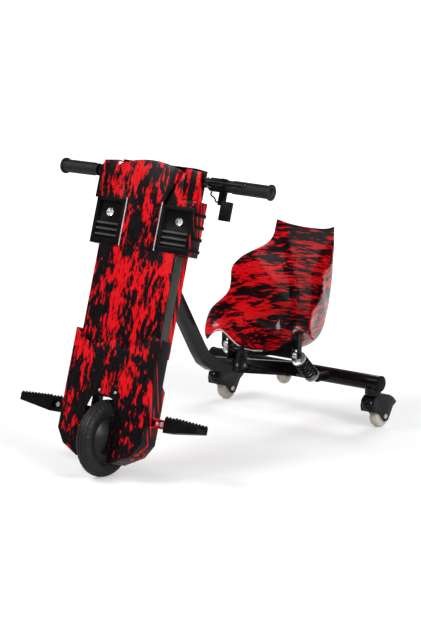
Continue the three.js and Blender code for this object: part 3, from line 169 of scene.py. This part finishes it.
def math_node(nodes, links, kind, first, second):
    """A sum, product or other figure of two numbers or sockets."""
    made = nodes.new("ShaderNodeMath")
    made.operation = kind
    for socket, value in zip(made.inputs, (first, second)):
        if isinstance(value, (int, float)):
            socket.default_value = value
        else:
            links.new(value, socket)
    return made.outputs[0]


# The film's colours, from its strokes to its ground

BLACK = (0.004, 0.003, 0.004)
CHARCOAL = (0.014, 0.01, 0.011)
RED = (0.86, 0.003, 0.006)
CRIMSON = (0.48, 0.003, 0.012)
DARK = (0.1, 0.001, 0.004)
ROSE = (0.84, 0.02, 0.04)


FINE_WEIGHT = 0.6
WANDER_SCALE, WANDER_WEIGHT = 0.3, 0.75
HAIR_ALONG, HAIR_ACROSS = 1.4, 2.8
SEED_SHARES = (1.0, 0.37, 0.71)
RIPPLE_SCALE, RIPPLE_STRENGTH, RIPPLE_DEPTH = 60.0, 0.03, 0.002
# Each tone of the film and its place above or below the share that is dark
FILM_TONES = (
    (-0.14, BLACK), (-0.05, BLACK), (-0.025, CHARCOAL), (0.0, DARK), (0.035, CRIMSON), (0.07, RED),
    (0.15, RED), (0.2, ROSE), (0.25, RED),
)


def streaks(name, turn, sizes, seed, dark_share=0.5, bands=(), coat=0.14, wave=0.35):
    """Glossy red film with torn black strokes, long along an axis whose scale is small.

    Bands are (height in metres, how much darker) pairs.
    """
    made, nodes, links, main = shader(name, roughness=0.3, coat=coat, Specular_IOR_Level=0.1)
    place = own_place(nodes)
    shift = nodes.new("ShaderNodeVectorMath")
    shift.operation = "ADD"
    shift.inputs[1].default_value = [seed * share for share in SEED_SHARES]
    links.new(place, shift.inputs[0])
    flat = stretched(nodes, links, shift.outputs[0], sizes, turn)
    wander = grain(nodes, links, stretched(nodes, links, flat, (WANDER_SCALE,) * 3), 1.0, 1.0)
    strokes = grain(nodes, links, flat, 1.0, 2.0, 0.5, wave)
    finest = max(sizes)
    hairs = stretched(nodes, links, flat, [HAIR_ACROSS if size == finest else HAIR_ALONG for size in sizes])
    fine = grain(nodes, links, hairs, 1.0, 3.0, 0.55, wave)

    def figure(kind, first, second):
        return math_node(nodes, links, kind, first, second)

    mixed = figure("ADD", strokes, figure("MULTIPLY", fine, FINE_WEIGHT))
    drift = figure("MULTIPLY", figure("SUBTRACT", wander, 0.5), WANDER_WEIGHT)
    field = figure("ADD", figure("SUBTRACT", mixed, FINE_WEIGHT / 2), drift)
    if bands:
        split = nodes.new("ShaderNodeSeparateXYZ")
        links.new(place, split.inputs[0])
        stops = [(height, (share,) * 3) for height, share in bands]
        field = figure("SUBTRACT", field, ramp(nodes, links, split.outputs["Z"], stops))
    tones = [(0.0, CHARCOAL)] + [(dark_share + above, tone) for above, tone in FILM_TONES]
    colour = ramp(nodes, links, field, tones)
    links.new(colour, main.inputs["Base Color"])
    ripple = grain(nodes, links, place, RIPPLE_SCALE, 2.0)
    bump(nodes, links, main, ripple, RIPPLE_STRENGTH, RIPPLE_DEPTH)
    return made


TONE_SCALE, GLOSS_SCALE, GRAIN_DEPTH = 34.0, 60.0, 0.0002
LOW_STOP, HIGH_STOP = 0.3, 0.7
GLOSS_LOW, GLOSS_HIGH = 0.8, 1.25
LIFT = 0.002


def plain(
    name, colour, roughness, metallic=0.0, coat=0.0, grain_scale=220.0, spread=0.25, bumpy=0.15, gleam=0.5,
):
    """A colour with a fine mottling of its tone, its gloss and its surface."""
    made, nodes, links, main = shader(name, roughness, metallic, coat, Specular_IOR_Level=gleam)
    place = own_place(nodes)
    tone = grain(nodes, links, place, TONE_SCALE, 4.0)
    lighter = tuple(min(1.0, channel * (1 + spread) + LIFT) for channel in colour)
    darker = tuple(channel * (1 - spread) for channel in colour)
    links.new(ramp(nodes, links, tone, [(LOW_STOP, darker), (HIGH_STOP, lighter)]), main.inputs["Base Color"])
    glossy, dull = (roughness * GLOSS_LOW,) * 3, (min(1, roughness * GLOSS_HIGH),) * 3
    mottle = grain(nodes, links, place, GLOSS_SCALE, 4.0)
    rough = ramp(nodes, links, mottle, [(LOW_STOP, glossy), (HIGH_STOP, dull)])
    links.new(rough, main.inputs["Roughness"])
    bump(nodes, links, main, grain(nodes, links, place, grain_scale, 3.0), bumpy, GRAIN_DEPTH)
    return made


FILM_BANDS = (
    (0.1, 0.12), (0.26, 0.08), (0.4, 0.02), (0.54, 0.03), (0.61, 0.05), (0.69, 0.045), (0.74, 0.0),
)
COLUMN_FILM = streaks("column_film", (RAKE, 0.16, 0), (92.0, 92.0, 7.5), 0.7, 0.5, FILM_BANDS)
SEAT_FILM = streaks("seat_film", (0.2, 0.12, 0.1), (14.0, 26.0, 95.0), 3.1, 0.485, coat=0.6, wave=0.8)
PEG_FILM = streaks("peg_film", (0, 0, 0), (45.0, 110.0, 110.0), 1.9)
GLOSS_BLACK = plain("gloss_black", (0.004, 0.004, 0.0045), 0.22, coat=0.2, bumpy=0.05, gleam=0.15)
SATIN_BLACK = plain("satin_black", (0.004, 0.004, 0.0042), 0.36, grain_scale=420.0, bumpy=0.15, gleam=0.09)
TYRE_RUBBER = plain("tyre_rubber", (0.009, 0.009, 0.01), 0.5, grain_scale=500.0, bumpy=0.3, gleam=0.35)
# Pale colour for the seat's front lip, and a painted highlight on the centre panel's creases.
PALE_LIP_AND_CREASE_HIGHLIGHT = plain("pale_lip_and_crease_highlight", (0.62, 0.6, 0.58), 0.3, coat=0.3, spread=0.1, grain_scale=300.0)
# Lighter grey for the louvres' fronts: a painted highlight of their lit edges.
SLAT_PAINTED_HIGHLIGHT = plain("slat_painted_highlight", (0.06, 0.063, 0.06), 0.35, spread=0.15, grain_scale=300.0)
GRIP_RUBBER = plain("grip_rubber", (0.01, 0.01, 0.011), 0.5, grain_scale=600.0, bumpy=0.3, gleam=0.35)
GREY_PAINT = plain("grey_paint", (0.03, 0.033, 0.03), 0.34, grain_scale=300.0)
ZINC = plain("zinc", (0.7, 0.71, 0.72), 0.3, metallic=0.7, spread=0.1)
CASTING = plain("casting", (0.4, 0.4, 0.41), 0.42, metallic=1.0, spread=0.15, grain_scale=300.0)
DARK_METAL = plain("dark_metal", (0.006, 0.006, 0.007), 0.35, gleam=0.35)
CREAM = plain("cream_wheel", (0.66, 0.62, 0.5), 0.3, coat=0.2, spread=0.06)
WRAP = plain("battery_wrap", (0.03, 0.1, 0.3), 0.45)

LENS, _, _, lens_main = shader("lamp_glass", 0.05)
lens_main.inputs["Base Color"].default_value = (0.95, 0.96, 0.95, 1)
lens_main.inputs["Transmission Weight"].default_value = 0.9
lens_main.inputs["IOR"].default_value = 1.45


# Mesh helpers

SMOOTH_ANGLE = 38


def smooth(mesh, angle=SMOOTH_ANGLE):
    """Smooth shading with sharp edges above an angle."""
    for face in mesh.polygons:
        face.use_smooth = True
    mesh.set_sharp_from_angle(angle=math.radians(angle))


def add(name, mesh, body, look, replaced=(), angle=SMOOTH_ANGLE):
    """A piece from a mesh, in a body and a look, standing for CAD nodes where it replaces them."""
    smooth(mesh, angle)
    places = [face.material_index for face in mesh.polygons]
    mesh.materials.clear()
    mesh.materials.append(look)
    mesh.polygons.foreach_set("material_index", places)
    piece = bpy.data.objects.new(name, mesh)
    bpy.context.scene.collection.objects.link(piece)
    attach(piece, body)
    if replaced:
        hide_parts(*replaced)
    return piece


def from_bmesh(name, shape, place=None):
    """A mesh from a bmesh, moved to its place."""
    bmesh.ops.recalc_face_normals(shape, faces=shape.faces)
    mesh = bpy.data.meshes.new(name)
    shape.to_mesh(mesh)
    shape.free()
    if place is not None:
        mesh.transform(place)
    return mesh


def rounded(shape, width, angle=30, segments=2):
    """Rounds the edges that are sharper than an angle."""
    limit = math.radians(angle)
    edges = [
        edge for edge in shape.edges
        if len(edge.link_faces) == 2 and edge.calc_face_angle(0) > limit
    ]
    if edges:
        bmesh.ops.bevel(
            shape, geom=edges, offset=width, offset_type="OFFSET", segments=segments, profile=0.6,
            affect="EDGES", clamp_overlap=True,
        )


BODY_OF = {node: body for body, nodes in frame["record"]["behaviour"]["bodies"].items() for node in nodes}


def paint(piece, zones):
    """Gives faces another look where a test of their middle holds.

    The test gets the middle in mm, in the column's frame and in the level frame.
    """
    for look, test in zones:
        piece.data.materials.append(look)
        index = len(piece.data.materials) - 1
        for face in piece.data.polygons:
            if test(TO_COLUMN @ face.center / MM, TO_LEVEL @ face.center / MM):
                face.material_index = index


# How far the edges are rounded, in metres
FINE_EDGE, TRIM_EDGE, PLASTIC_EDGE, SHELL_EDGE = 0.0006, 0.0008, 0.0012, 0.0016
WELD = 2e-6
FLAT_ANGLE = math.radians(0.4)


def dress(node, look, width=TRIM_EDGE, angle=30, zones=()):
    """The node's own shape with its edges rounded."""
    mesh = frame["nodes"][node].data.copy()
    shape = bmesh.new()
    shape.from_mesh(mesh)
    bmesh.ops.remove_doubles(shape, verts=shape.verts, dist=WELD)
    bmesh.ops.dissolve_limit(shape, angle_limit=FLAT_ANGLE, verts=shape.verts, edges=shape.edges)
    if width:
        rounded(shape, width, angle)
    shape.to_mesh(mesh)
    shape.free()
    piece = add(f"{node}_dressed", mesh, BODY_OF[node], look, [node])
    paint(piece, zones)
    return piece


def lathe(name, profile, segments, place):
    """A profile of (radius, along) in mm turned about the local X axis."""
    shape = bmesh.new()
    rings = []
    for step in range(segments):
        angle = 2 * math.pi * step / segments
        rings.append([
            shape.verts.new((along * MM, radius * math.cos(angle) * MM, radius * math.sin(angle) * MM))
            for radius, along in profile
        ])
    count = len(profile)
    for step in range(segments):
        here, there = rings[step], rings[(step + 1) % segments]
        for i in range(count):
            j = (i + 1) % count
            shape.faces.new((here[i], here[j], there[j], there[i]))
    bmesh.ops.remove_doubles(shape, verts=shape.verts, dist=1e-7)
    return from_bmesh(name, shape, place)


def tube(name, points, radius, sides, place):
    """A round tube of one radius, in metres, along a list of points."""
    shape = bmesh.new()
    rings = []
    normal = None
    for i, point in enumerate(points):
        ahead = (points[min(i + 1, len(points) - 1)] - points[max(i - 1, 0)]).normalized()
        if normal is None:
            normal = ahead.orthogonal().normalized()
        normal = (normal - ahead * normal.dot(ahead)).normalized()
        across = ahead.cross(normal)
        rings.append([
            shape.verts.new(point + radius * (normal * math.cos(a) + across * math.sin(a)))
            for a in (2 * math.pi * k / sides for k in range(sides))
        ])
    for here, there in zip(rings, rings[1:]):
        for k in range(sides):
            shape.faces.new((here[k], here[(k + 1) % sides], there[(k + 1) % sides], there[k]))
    shape.faces.new(rings[0])
    shape.faces.new(rings[-1])
    return from_bmesh(name, shape, place)


def catmull(points, share):
    """A point on a smooth curve through the points, with centripetal spacing."""
    last = len(points) - 1
    reach = last * share
    i = min(int(reach), last - 1)
    w = reach - i
    p1, p2 = points[i], points[i + 1]
    p0 = points[i - 1] if i > 0 else p1 * 2 - p2
    p3 = points[i + 2] if i + 2 <= last else p2 * 2 - p1
    d1 = max((p2 - p1).length ** 0.5, 1e-4)
    d0 = (p1 - p0).length ** 0.5 or d1
    d2 = (p3 - p2).length ** 0.5 or d1
    t1 = ((p1 - p0) / d0 - (p2 - p0) / (d0 + d1) + (p2 - p1) / d1) * d1
    t2 = ((p2 - p1) / d1 - (p3 - p1) / (d1 + d2) + (p3 - p2) / d2) * d1
    return p1 + t1 * w + (p2 * 3 - p1 * 3 - t1 * 2 - t2) * w ** 2 + (p1 * 2 - p2 * 2 + t1 + t2) * w ** 3


# Seat shell

SEAT_RIM = [Vector(p) for p in [
    (180, -165, 240), (178, -177, 262), (170, -163, 315), (155, -96, 361),
    (152, -85, 420), (149, -49, 440), (105, 26, 480), (95, 41, 532),
]]
SEAT_SPINE = [Vector((0, y, z)) for y, z in [
    (-165, 212), (-120, 205), (-40, 196), (20, 205), (52, 250), (60, 350), (55, 450), (56, 517),
]]
CREST_SHARES = [Vector((share, 0, 0)) for share in (1, 0.62, 0.2, 0, 0, 0, 0, 0)]
SEAT_CREST = 45
SEAT_THICKNESS = 4.0
SEAT_TWIST = 24.0
RISE_POWER, BULGE_POWER, BULGE_SOFTNESS = 2.6, 2.3, 1.3
SEAT_COLUMNS, SEAT_ROWS = 64, 84
PROBE = 1e-3
RIM_ROUND, RIM_ANGLE = 0.0012, 50
LIP_BACK, LIP_RIGHT = -158, 10


def seat_point(across, along):
    """A point of the shell, from -1 to 1 across and from 0 at the front lip to 1 at the top."""
    side = abs(across)
    rim = catmull(SEAT_RIM, along)
    middle = catmull(SEAT_SPINE, along)
    crest = max(0.0, catmull(CREST_SHARES, along).x) * SEAT_CREST
    rise = side ** RISE_POWER
    bulge = 0.0
    if 0 < side < 1:
        bulge = math.sin(math.pi * side ** BULGE_POWER) ** BULGE_SOFTNESS
    twist = SEAT_TWIST * across * (1 - along)
    height = middle.z + (rim.z - middle.z) * rise + crest * bulge + twist
    return Vector((across * rim.x, middle.y + (rim.y - middle.y) * rise, height))


def seat_mesh():
    """The shell's upper and lower sheet joined by its rim; material 1 is the pale front lip."""
    columns, rows = SEAT_COLUMNS, SEAT_ROWS
    tops, unders = [], []
    for j in range(rows + 1):
        along = j / rows
        top, under = [], []
        for i in range(columns + 1):
            across = 2 * i / columns - 1
            du = seat_point(min(1, across + PROBE), along) - seat_point(max(-1, across - PROBE), along)
            dv = seat_point(across, min(1, along + PROBE)) - seat_point(across, max(0, along - PROBE))
            normal = du.cross(dv).normalized()
            point = seat_point(across, along)
            top.append(point)
            under.append(point - normal * SEAT_THICKNESS)
        tops.append(top)
        unders.append(under)
    shape = bmesh.new()
    grid = [[[shape.verts.new(level(*p)) for p in row] for row in side] for side in (tops, unders)]
    lower = {vert for row in grid[1] for vert in row}
    for side in grid:
        for j in range(rows):
            for i in range(columns):
                shape.faces.new((side[j][i], side[j][i + 1], side[j + 1][i + 1], side[j + 1][i]))
    edge = [(0, i) for i in range(columns)] + [(j, columns) for j in range(rows)]
    edge += [(rows, i) for i in range(columns, 0, -1)] + [(j, 0) for j in range(rows, 0, -1)]
    for (j, i), (l, k) in zip(edge, edge[1:] + edge[:1]):
        shape.faces.new((grid[0][j][i], grid[0][l][k], grid[1][l][k], grid[1][j][i]))
    for face in shape.faces:
        low_count = sum(vert in lower for vert in face.verts)
        middle = TO_LEVEL @ face.calc_center_median() / MM
        lip = middle.y < LIP_BACK and middle.x < LIP_RIGHT
        face.material_index = 1 if lip and 0 < low_count < len(face.verts) else 0
    bmesh.ops.recalc_face_normals(shape, faces=shape.faces)
    rounded(shape, RIM_ROUND, RIM_ANGLE)
    return from_bmesh("seat_shell_fine", shape)


seat_piece = add("seat_shell_fine", seat_mesh(), "seat", SEAT_FILM, ["seat_shell"], 60)
seat_piece.data.materials.append(PALE_LIP_AND_CREASE_HIGHLIGHT)

# Front tyre and hub

WHEEL = Matrix.Translation(AXLE)
TYRE_HALF = 23.0
TYRE_RING = TYRE_RADIUS - TYRE_HALF
BEAD_RADIUS, BEAD_HALF = 66, 16
WALL_DROP, WALL_HALF = 6, 22.2
TREAD_REACH = math.radians(86)
TREAD_STEPS, TYRE_STEPS = 30, 240
GROOVES = (-11.0, -3.8, 3.8, 11.0)
GROOVE_HALF, GROOVE_DEPTH = 1.3, 1.7
# Short cuts across the shoulders and nicks in the middle: from, to, depth, and one in how many steps
SHOULDER_CUT = (12.6, 20.5, 1.3, 6)
MIDDLE_NICK = (-1.0, 2.2, 0.8, 12)
CUT_STEPS = 2


def tyre_profile():
    """Half a turn of round tread with its grooves, between two side walls."""
    wall = (TYRE_RING - WALL_DROP, WALL_HALF)
    profile = [(BEAD_RADIUS, -BEAD_HALF), (wall[0], -wall[1])]
    for k in range(-TREAD_STEPS, TREAD_STEPS + 1):
        angle = TREAD_REACH * k / TREAD_STEPS
        along = TYRE_HALF * math.sin(angle)
        depth = max(1 - (abs(along - groove) / GROOVE_HALF) ** 4 for groove in GROOVES)
        radius = TYRE_RING + TYRE_HALF * math.cos(angle)
        profile.append((radius - GROOVE_DEPTH * max(0.0, depth), along))
    return profile + [wall, (BEAD_RADIUS, BEAD_HALF)]


def tread_cut(along, step):
    """How deep the short cuts are at a place along the axle and a step of the turn."""
    return sum(
        depth for near, far, depth, every in (SHOULDER_CUT, MIDDLE_NICK)
        if near < abs(along) < far and step % every < CUT_STEPS
    )


def tyre_mesh():
    """A balloon tyre with four round grooves and short cuts across its shoulders."""
    profile = tyre_profile()
    shape = bmesh.new()
    rings = []
    for step in range(TYRE_STEPS):
        angle = 2 * math.pi * step / TYRE_STEPS
        ring = []
        for radius, along in profile:
            shown = radius - tread_cut(along, step)
            place = (along, shown * math.cos(angle), shown * math.sin(angle))
            ring.append(shape.verts.new([value * MM for value in place]))
        rings.append(ring)
    count = len(profile)
    for step in range(TYRE_STEPS):
        here, there = rings[step], rings[(step + 1) % TYRE_STEPS]
        for i in range(count):
            j = (i + 1) % count
            shape.faces.new((here[i], here[j], there[j], there[i]))
    return from_bmesh("tyre_fine", shape, WHEEL)


add("tyre_fine", tyre_mesh(), "front_wheel", TYRE_RUBBER, ["front_tyre"], 35)
# Half of the hub's section, as (radius, along), from its bore to the tyre's bead
HUB_HALF_PROFILE = [
    (8.3, -40), (19, -40), (20, -39), (20, -31), (24, -29.5), (56, -19), (58, -16.5), (62, -15), (65.6, -16),
]
hub_profile = HUB_HALF_PROFILE + [(radius, -along) for radius, along in reversed(HUB_HALF_PROFILE)]
HUB_STEPS = 72
hub_mesh = lathe("hub_fine", hub_profile, HUB_STEPS, WHEEL)
add("hub_fine", hub_mesh, "front_wheel", DARK_METAL, ["hub_motor"], 40)

# Springs

SHOCK_SIDE = 117
SHOCK_TOP = Vector((0, -155, 212))
SHOCK_LOW = Vector((0, -72, 134))
SHOCK_RUN = (SHOCK_TOP - SHOCK_LOW).length
SHOCK_TURN = Matrix.Rotation(math.atan2(SHOCK_LOW.y - SHOCK_TOP.y, SHOCK_TOP.z - SHOCK_LOW.z), 4, "X")
COIL_FOOT = 17.7
COIL_TOP = SHOCK_RUN - 19.7
COIL_WIRE, COIL_RADIUS, COIL_TURNS = 3.3, 17.5, 6
COIL_STEPS, COIL_SIDES = 28, 10
COIL_SMOOTH = 80


def shock_place(side):
    """The lower bolt's place on one side, with Z up the shock."""
    place = Vector((side * SHOCK_SIDE, SHOCK_LOW.y, SHOCK_LOW.z))
    return LEVEL @ Matrix.Translation(place * MM) @ SHOCK_TURN


def coil_mesh(side):
    """A wire wound from the lower collar to the upper one."""
    low, high = COIL_FOOT + COIL_WIRE, COIL_TOP - COIL_WIRE
    count = COIL_TURNS * COIL_STEPS
    points = []
    for i in range(count + 1):
        angle = 2 * math.pi * COIL_TURNS * i / count
        height = low + (high - low) * i / count
        points.append(Vector((COIL_RADIUS * math.cos(angle), COIL_RADIUS * math.sin(angle), height)) * MM)
    return tube("coil", points, COIL_WIRE * MM, COIL_SIDES, shock_place(side))


for side, label in SIDES:
    lower, node = f"shock_lower_{label}", f"shock_spring_{label}"
    coil = add(f"coil_{label}", coil_mesh(side), lower, GLOSS_BLACK, [node], COIL_SMOOTH)
    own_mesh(coil)
    dress(f"shock_body_{label}", ZINC, FINE_EDGE)
    dress(f"shock_rod_{label}", ZINC, FINE_EDGE)

# Column

CREASE_X, CREASE_HALF, CREASE_FRONT, CREASE_TOP = 57.5, 2, -19.5, 616
SLAT_INNER, SLAT_OUTER, SLAT_LOW, SLAT_HIGH = 73, 149, 511, 548
SLAT_NEAR, SLAT_FAR = -19, -12.5
POD_INNER, POD_OUTER, POD_SLANT = 61, 159, 0.081
RIB_FOOT = 160.7
POD_FOOT, SHOULDER_LOW, SHOULDER_OUTER = 503, 613, 111


def on_crease(at, back):
    """The front of a centre panel's raised edge, where a pale highlight is painted."""
    return at.y < CREASE_FRONT and abs(abs(at.x) - CREASE_X) < CREASE_HALF and at.z < CREASE_TOP


def on_slat(at, back):
    """A louvre's front in a light pod's window, painted lighter grey as a highlight for its lit edges."""
    depth = at.y + POD_SLANT * (POD_INNER - abs(at.x))
    inside = SLAT_INNER < abs(at.x) < SLAT_OUTER and SLAT_LOW < at.z < SLAT_HIGH
    return inside and SLAT_NEAR < depth < SLAT_FAR


def on_pod_film(at, back):
    """A light pod's foot, inner shoulder and side wall, but not the ribs on it."""
    shoulder = at.z > SHOULDER_LOW and abs(at.x) < SHOULDER_OUTER
    return at.z < POD_FOOT or shoulder or POD_OUTER < abs(at.x) < RIB_FOOT


for node in ("column_front_cover", "column_rear_cover", "wheel_shroud"):
    dress(node, COLUMN_FILM, SHELL_EDGE)
# The crease fronts are painted pale: a painted highlight along the centre panel's raised edges.
dress("centre_panel", COLUMN_FILM, zones=[(PALE_LIP_AND_CREASE_HIGHLIGHT, on_crease)])
for node in ("shoulder_panel_left", "shoulder_panel_right"):
    dress(node, COLUMN_FILM, PLASTIC_EDGE)
for node in ("side_strip_left", "side_strip_right"):
    dress(node, GREY_PAINT, FINE_EDGE)
for node in ("light_pod_left", "light_pod_right"):
    # The louvres' fronts get the lighter grey as a painted highlight.
    dress(node, SATIN_BLACK, PLASTIC_EDGE, zones=[(COLUMN_FILM, on_pod_film), (SLAT_PAINTED_HIGHLIGHT, on_slat)])
for node in ("dash_housing", "switch_box", "throttle_body", "throttle_paddle"):
    dress(node, SATIN_BLACK, PLASTIC_EDGE)
for node in ("lamp_lens_left", "lamp_lens_right"):
    dress(node, LENS, 0.0)
for node in ("fork", "steering_spine", "steering_yoke", "handlebar", "brake_perch", "brake_lever"):
    dress(node, GLOSS_BLACK)
dress("throttle_cable", SATIN_BLACK, 0.0)
for node in ("kingpin", "front_axle", "bush_lower", "bush_upper"):
    dress(node, ZINC, FINE_EDGE)
dress("bar_clamp", CASTING)
dress("battery_pack", WRAP, 0.003)
dress("motor_controller", CASTING)

PIN_FRONT, PIN_REAR = 1.6, 22.4


def pin_zone(at, back):
    """The pin's heads on a peg bracket."""
    return at.y < PIN_FRONT or at.y > PIN_REAR


dress("peg_bracket_left", PEG_FILM, zones=[(ZINC, pin_zone)])
dress("peg_bracket_right", SATIN_BLACK, zones=[(ZINC, pin_zone)])
for node in ("peg_left", "peg_right"):
    dress(node, SATIN_BLACK, 0.001)
for node in ("grip_left", "grip_right"):
    dress(node, GRIP_RUBBER, FINE_EDGE)

FORWARD = Matrix.Rotation(-math.pi / 2, 4, "Z")


SCREW_STEPS, SCREW_SMOOTH = 24, 50
# A screw head's section, in shares of its radius and of its height
HEAD_HEIGHT_SHARE, RECESS_SHARE, RECESS_FLOOR_SHARE = 0.4, 0.45, 0.45
DOME_SHARES = ((0.7, 0.86), (0.93, 0.4), (1.0, 0.0))
RECESS_LIP, SCREW_SINK = 0.2, 0.6


def button_screw(name, body, place, radius):
    """A domed screw head with a recess; its local X points out of the surface."""
    tall = radius * HEAD_HEIGHT_SHARE
    recess, floor_height = radius * RECESS_SHARE, tall * RECESS_FLOOR_SHARE
    profile = [(0.0, floor_height), (recess, floor_height), (recess + RECESS_LIP, tall)]
    profile += [(radius * out, tall * up) for out, up in DOME_SHARES]
    profile += [(radius, -SCREW_SINK), (0.0, -SCREW_SINK)]
    return add(name, lathe(name, profile, SCREW_STEPS, place), body, ZINC, angle=SCREW_SMOOTH)


def on_column(x, y, z):
    """A place in the column's frame with local X pointing forward."""
    return COLUMN @ Matrix.Translation((x * MM, y * MM, z * MM)) @ FORWARD


BRACKET_SCREW, BRACKET_SCREW_RADIUS = (155, 2.2, 62), 5.0
SLOT_SCREW, SLOT_SCREW_RADIUS = (26, -24.9, 119), 4.0
LAMP_PLACE, BOWL_STEPS = (113, 0, 574), 32
BOWL = [(0.0, 0.0), (2.4, 0.5), (4.0, 1.4), (5.2, 2.8), (5.6, 2.8), (5.6, -1.5), (0.0, -1.5)]

for side, label in SIDES:
    x, y, z = BRACKET_SCREW
    button_screw(f"bracket_screw_{label}", "steering", on_column(side * x, y, z), BRACKET_SCREW_RADIUS)
    x, y, z = SLOT_SCREW
    button_screw(f"slot_screw_{label}", "steering", on_column(side * x, y, z), SLOT_SCREW_RADIUS)
    x, y, z = LAMP_PLACE
    bowl = lathe("lamp_bowl", BOWL, BOWL_STEPS, on_column(side * x, y, z))
    add(f"lamp_bowl_{label}", bowl, "steering", ZINC, angle=SCREW_SMOOTH)

# Frame

CASTER_X, CHEEK_HALF = 262, 19.5
PIN_Y, PIN_Z, PIN_REACH = 30, 32, 9
CLAMP_HALF, CLAMP_SCREWS, CLAMP_SCREW_RADIUS = 16.6, ((-286, 196), (-252, 189)), 6.0


def caster_head(at, back):
    """The heads of a caster wheel's pin, outside the hood's cheeks."""
    outside = abs(abs(back.x) - CASTER_X) > CHEEK_HALF
    return outside and math.hypot(back.y - PIN_Y, back.z - PIN_Z) < PIN_REACH


dress("main_tube", GLOSS_BLACK, 0.003)
dress("cross_tube", GLOSS_BLACK, PLASTIC_EDGE)
for node in ("seat_mount", "seat_underframe"):
    dress(node, GLOSS_BLACK, 0.0014)
for node in ("end_cap_left", "end_cap_right"):
    dress(node, SATIN_BLACK, PLASTIC_EDGE)
for node in ("caster_hood_left", "caster_hood_right"):
    dress(node, GLOSS_BLACK, 0.004, zones=[(ZINC, caster_head)])

# The bright screws of the seat mount's clamp plates, and the translucent wheels

for side, label in SIDES:
    outward = Matrix.Identity(4) if side > 0 else Matrix.Rotation(math.pi, 4, "Z")
    for number, (y, z) in enumerate(CLAMP_SCREWS):
        place = Matrix.Translation(level(side * CLAMP_HALF, y, z)) @ outward
        button_screw(f"clamp_screw_{label}_{number}", "frame", place, CLAMP_SCREW_RADIUS)
for node in ("caster_wheel_left", "caster_wheel_right", "belly_roller"):
    dress(node, CREAM, 0.0015)

# Floor, backdrop and light

FLOOR_HALF = 30
FLOOR_GREY = 0.9
# The floor's own glow for the camera rises with the distance from the middle, to white
GLOW_FROM, GLOW_TO = 0.8, 4.0
GLOW_LOW, GLOW_HIGH = 0.37, 1.0

corners = [(-1, -1), (1, -1), (1, 1), (-1, 1)]
floor_mesh = bpy.data.meshes.new("floor")
floor_mesh.from_pydata([(x * FLOOR_HALF, y * FLOOR_HALF, 0) for x, y in corners], [], [(0, 1, 2, 3)])
floor = bpy.data.objects.new("floor", floor_mesh)
bpy.context.scene.collection.objects.link(floor)
floor_look, floor_nodes, floor_links, floor_main = shader("floor", 0.9)
floor_main.inputs["Base Color"].default_value = (FLOOR_GREY, FLOOR_GREY, FLOOR_GREY, 1)
floor_main.inputs["Specular IOR Level"].default_value = 0.0
floor_main.inputs["Emission Color"].default_value = (1, 1, 1, 1)
floor_rays = floor_nodes.new("ShaderNodeLightPath")
far_off = floor_nodes.new("ShaderNodeVectorMath")
far_off.operation = "LENGTH"
floor_links.new(own_place(floor_nodes), far_off.inputs[0])
glow = floor_nodes.new("ShaderNodeMapRange")
glow.inputs["From Min"].default_value = GLOW_FROM
glow.inputs["From Max"].default_value = GLOW_TO
glow.inputs["To Min"].default_value = GLOW_LOW
glow.inputs["To Max"].default_value = GLOW_HIGH
floor_links.new(far_off.outputs["Value"], glow.inputs["Value"])
camera_rays = floor_rays.outputs["Is Camera Ray"]
floor_glow = math_node(floor_nodes, floor_links, "MULTIPLY", camera_rays, glow.outputs["Result"])
floor_links.new(floor_glow, floor_main.inputs["Emission Strength"])
floor_mesh.materials.append(floor_look)

WORLD_LIGHT = 0.18

world = bpy.data.worlds.new("world")
bpy.context.scene.world = world
world.use_nodes = True
world_nodes, world_links = world.node_tree.nodes, world.node_tree.links
background = world_nodes["Background"]
background.inputs["Color"].default_value = (1, 1, 1, 1)
rays = world_nodes.new("ShaderNodeLightPath")
camera_ray, glass_ray = rays.outputs["Is Camera Ray"], rays.outputs["Is Transmission Ray"]
seen = math_node(world_nodes, world_links, "MAXIMUM", camera_ray, glass_ray)
extra = math_node(world_nodes, world_links, "MULTIPLY", seen, 1 - WORLD_LIGHT)
strength = math_node(world_nodes, world_links, "ADD", extra, WORLD_LIGHT)
world_links.new(strength, background.inputs["Strength"])


def softbox(name, place, aim, size, power):
    """A rectangular light that faces a point."""
    data = bpy.data.lights.new(name, "AREA")
    data.shape = "RECTANGLE"
    data.size, data.size_y = size
    data.energy = power
    lamp = bpy.data.objects.new(name, data)
    bpy.context.scene.collection.objects.link(lamp)
    lamp.location = place
    lamp.rotation_euler = (Vector(aim) - Vector(place)).to_track_quat("-Z", "Y").to_euler()


softbox("key", (-1.6, -2.6, 3.4), (0, -0.1, 0.3), (2.2, 1.6), 85)
softbox("side", (3.6, -1.2, 2.2), (0, 0.1, 0.35), (1.4, 2.2), 95)
softbox("back", (-0.5, 3.4, 2.8), (0, 0.2, 0.3), (2.4, 1.4), 50)

bpy.context.scene.view_settings.view_transform = "Standard"
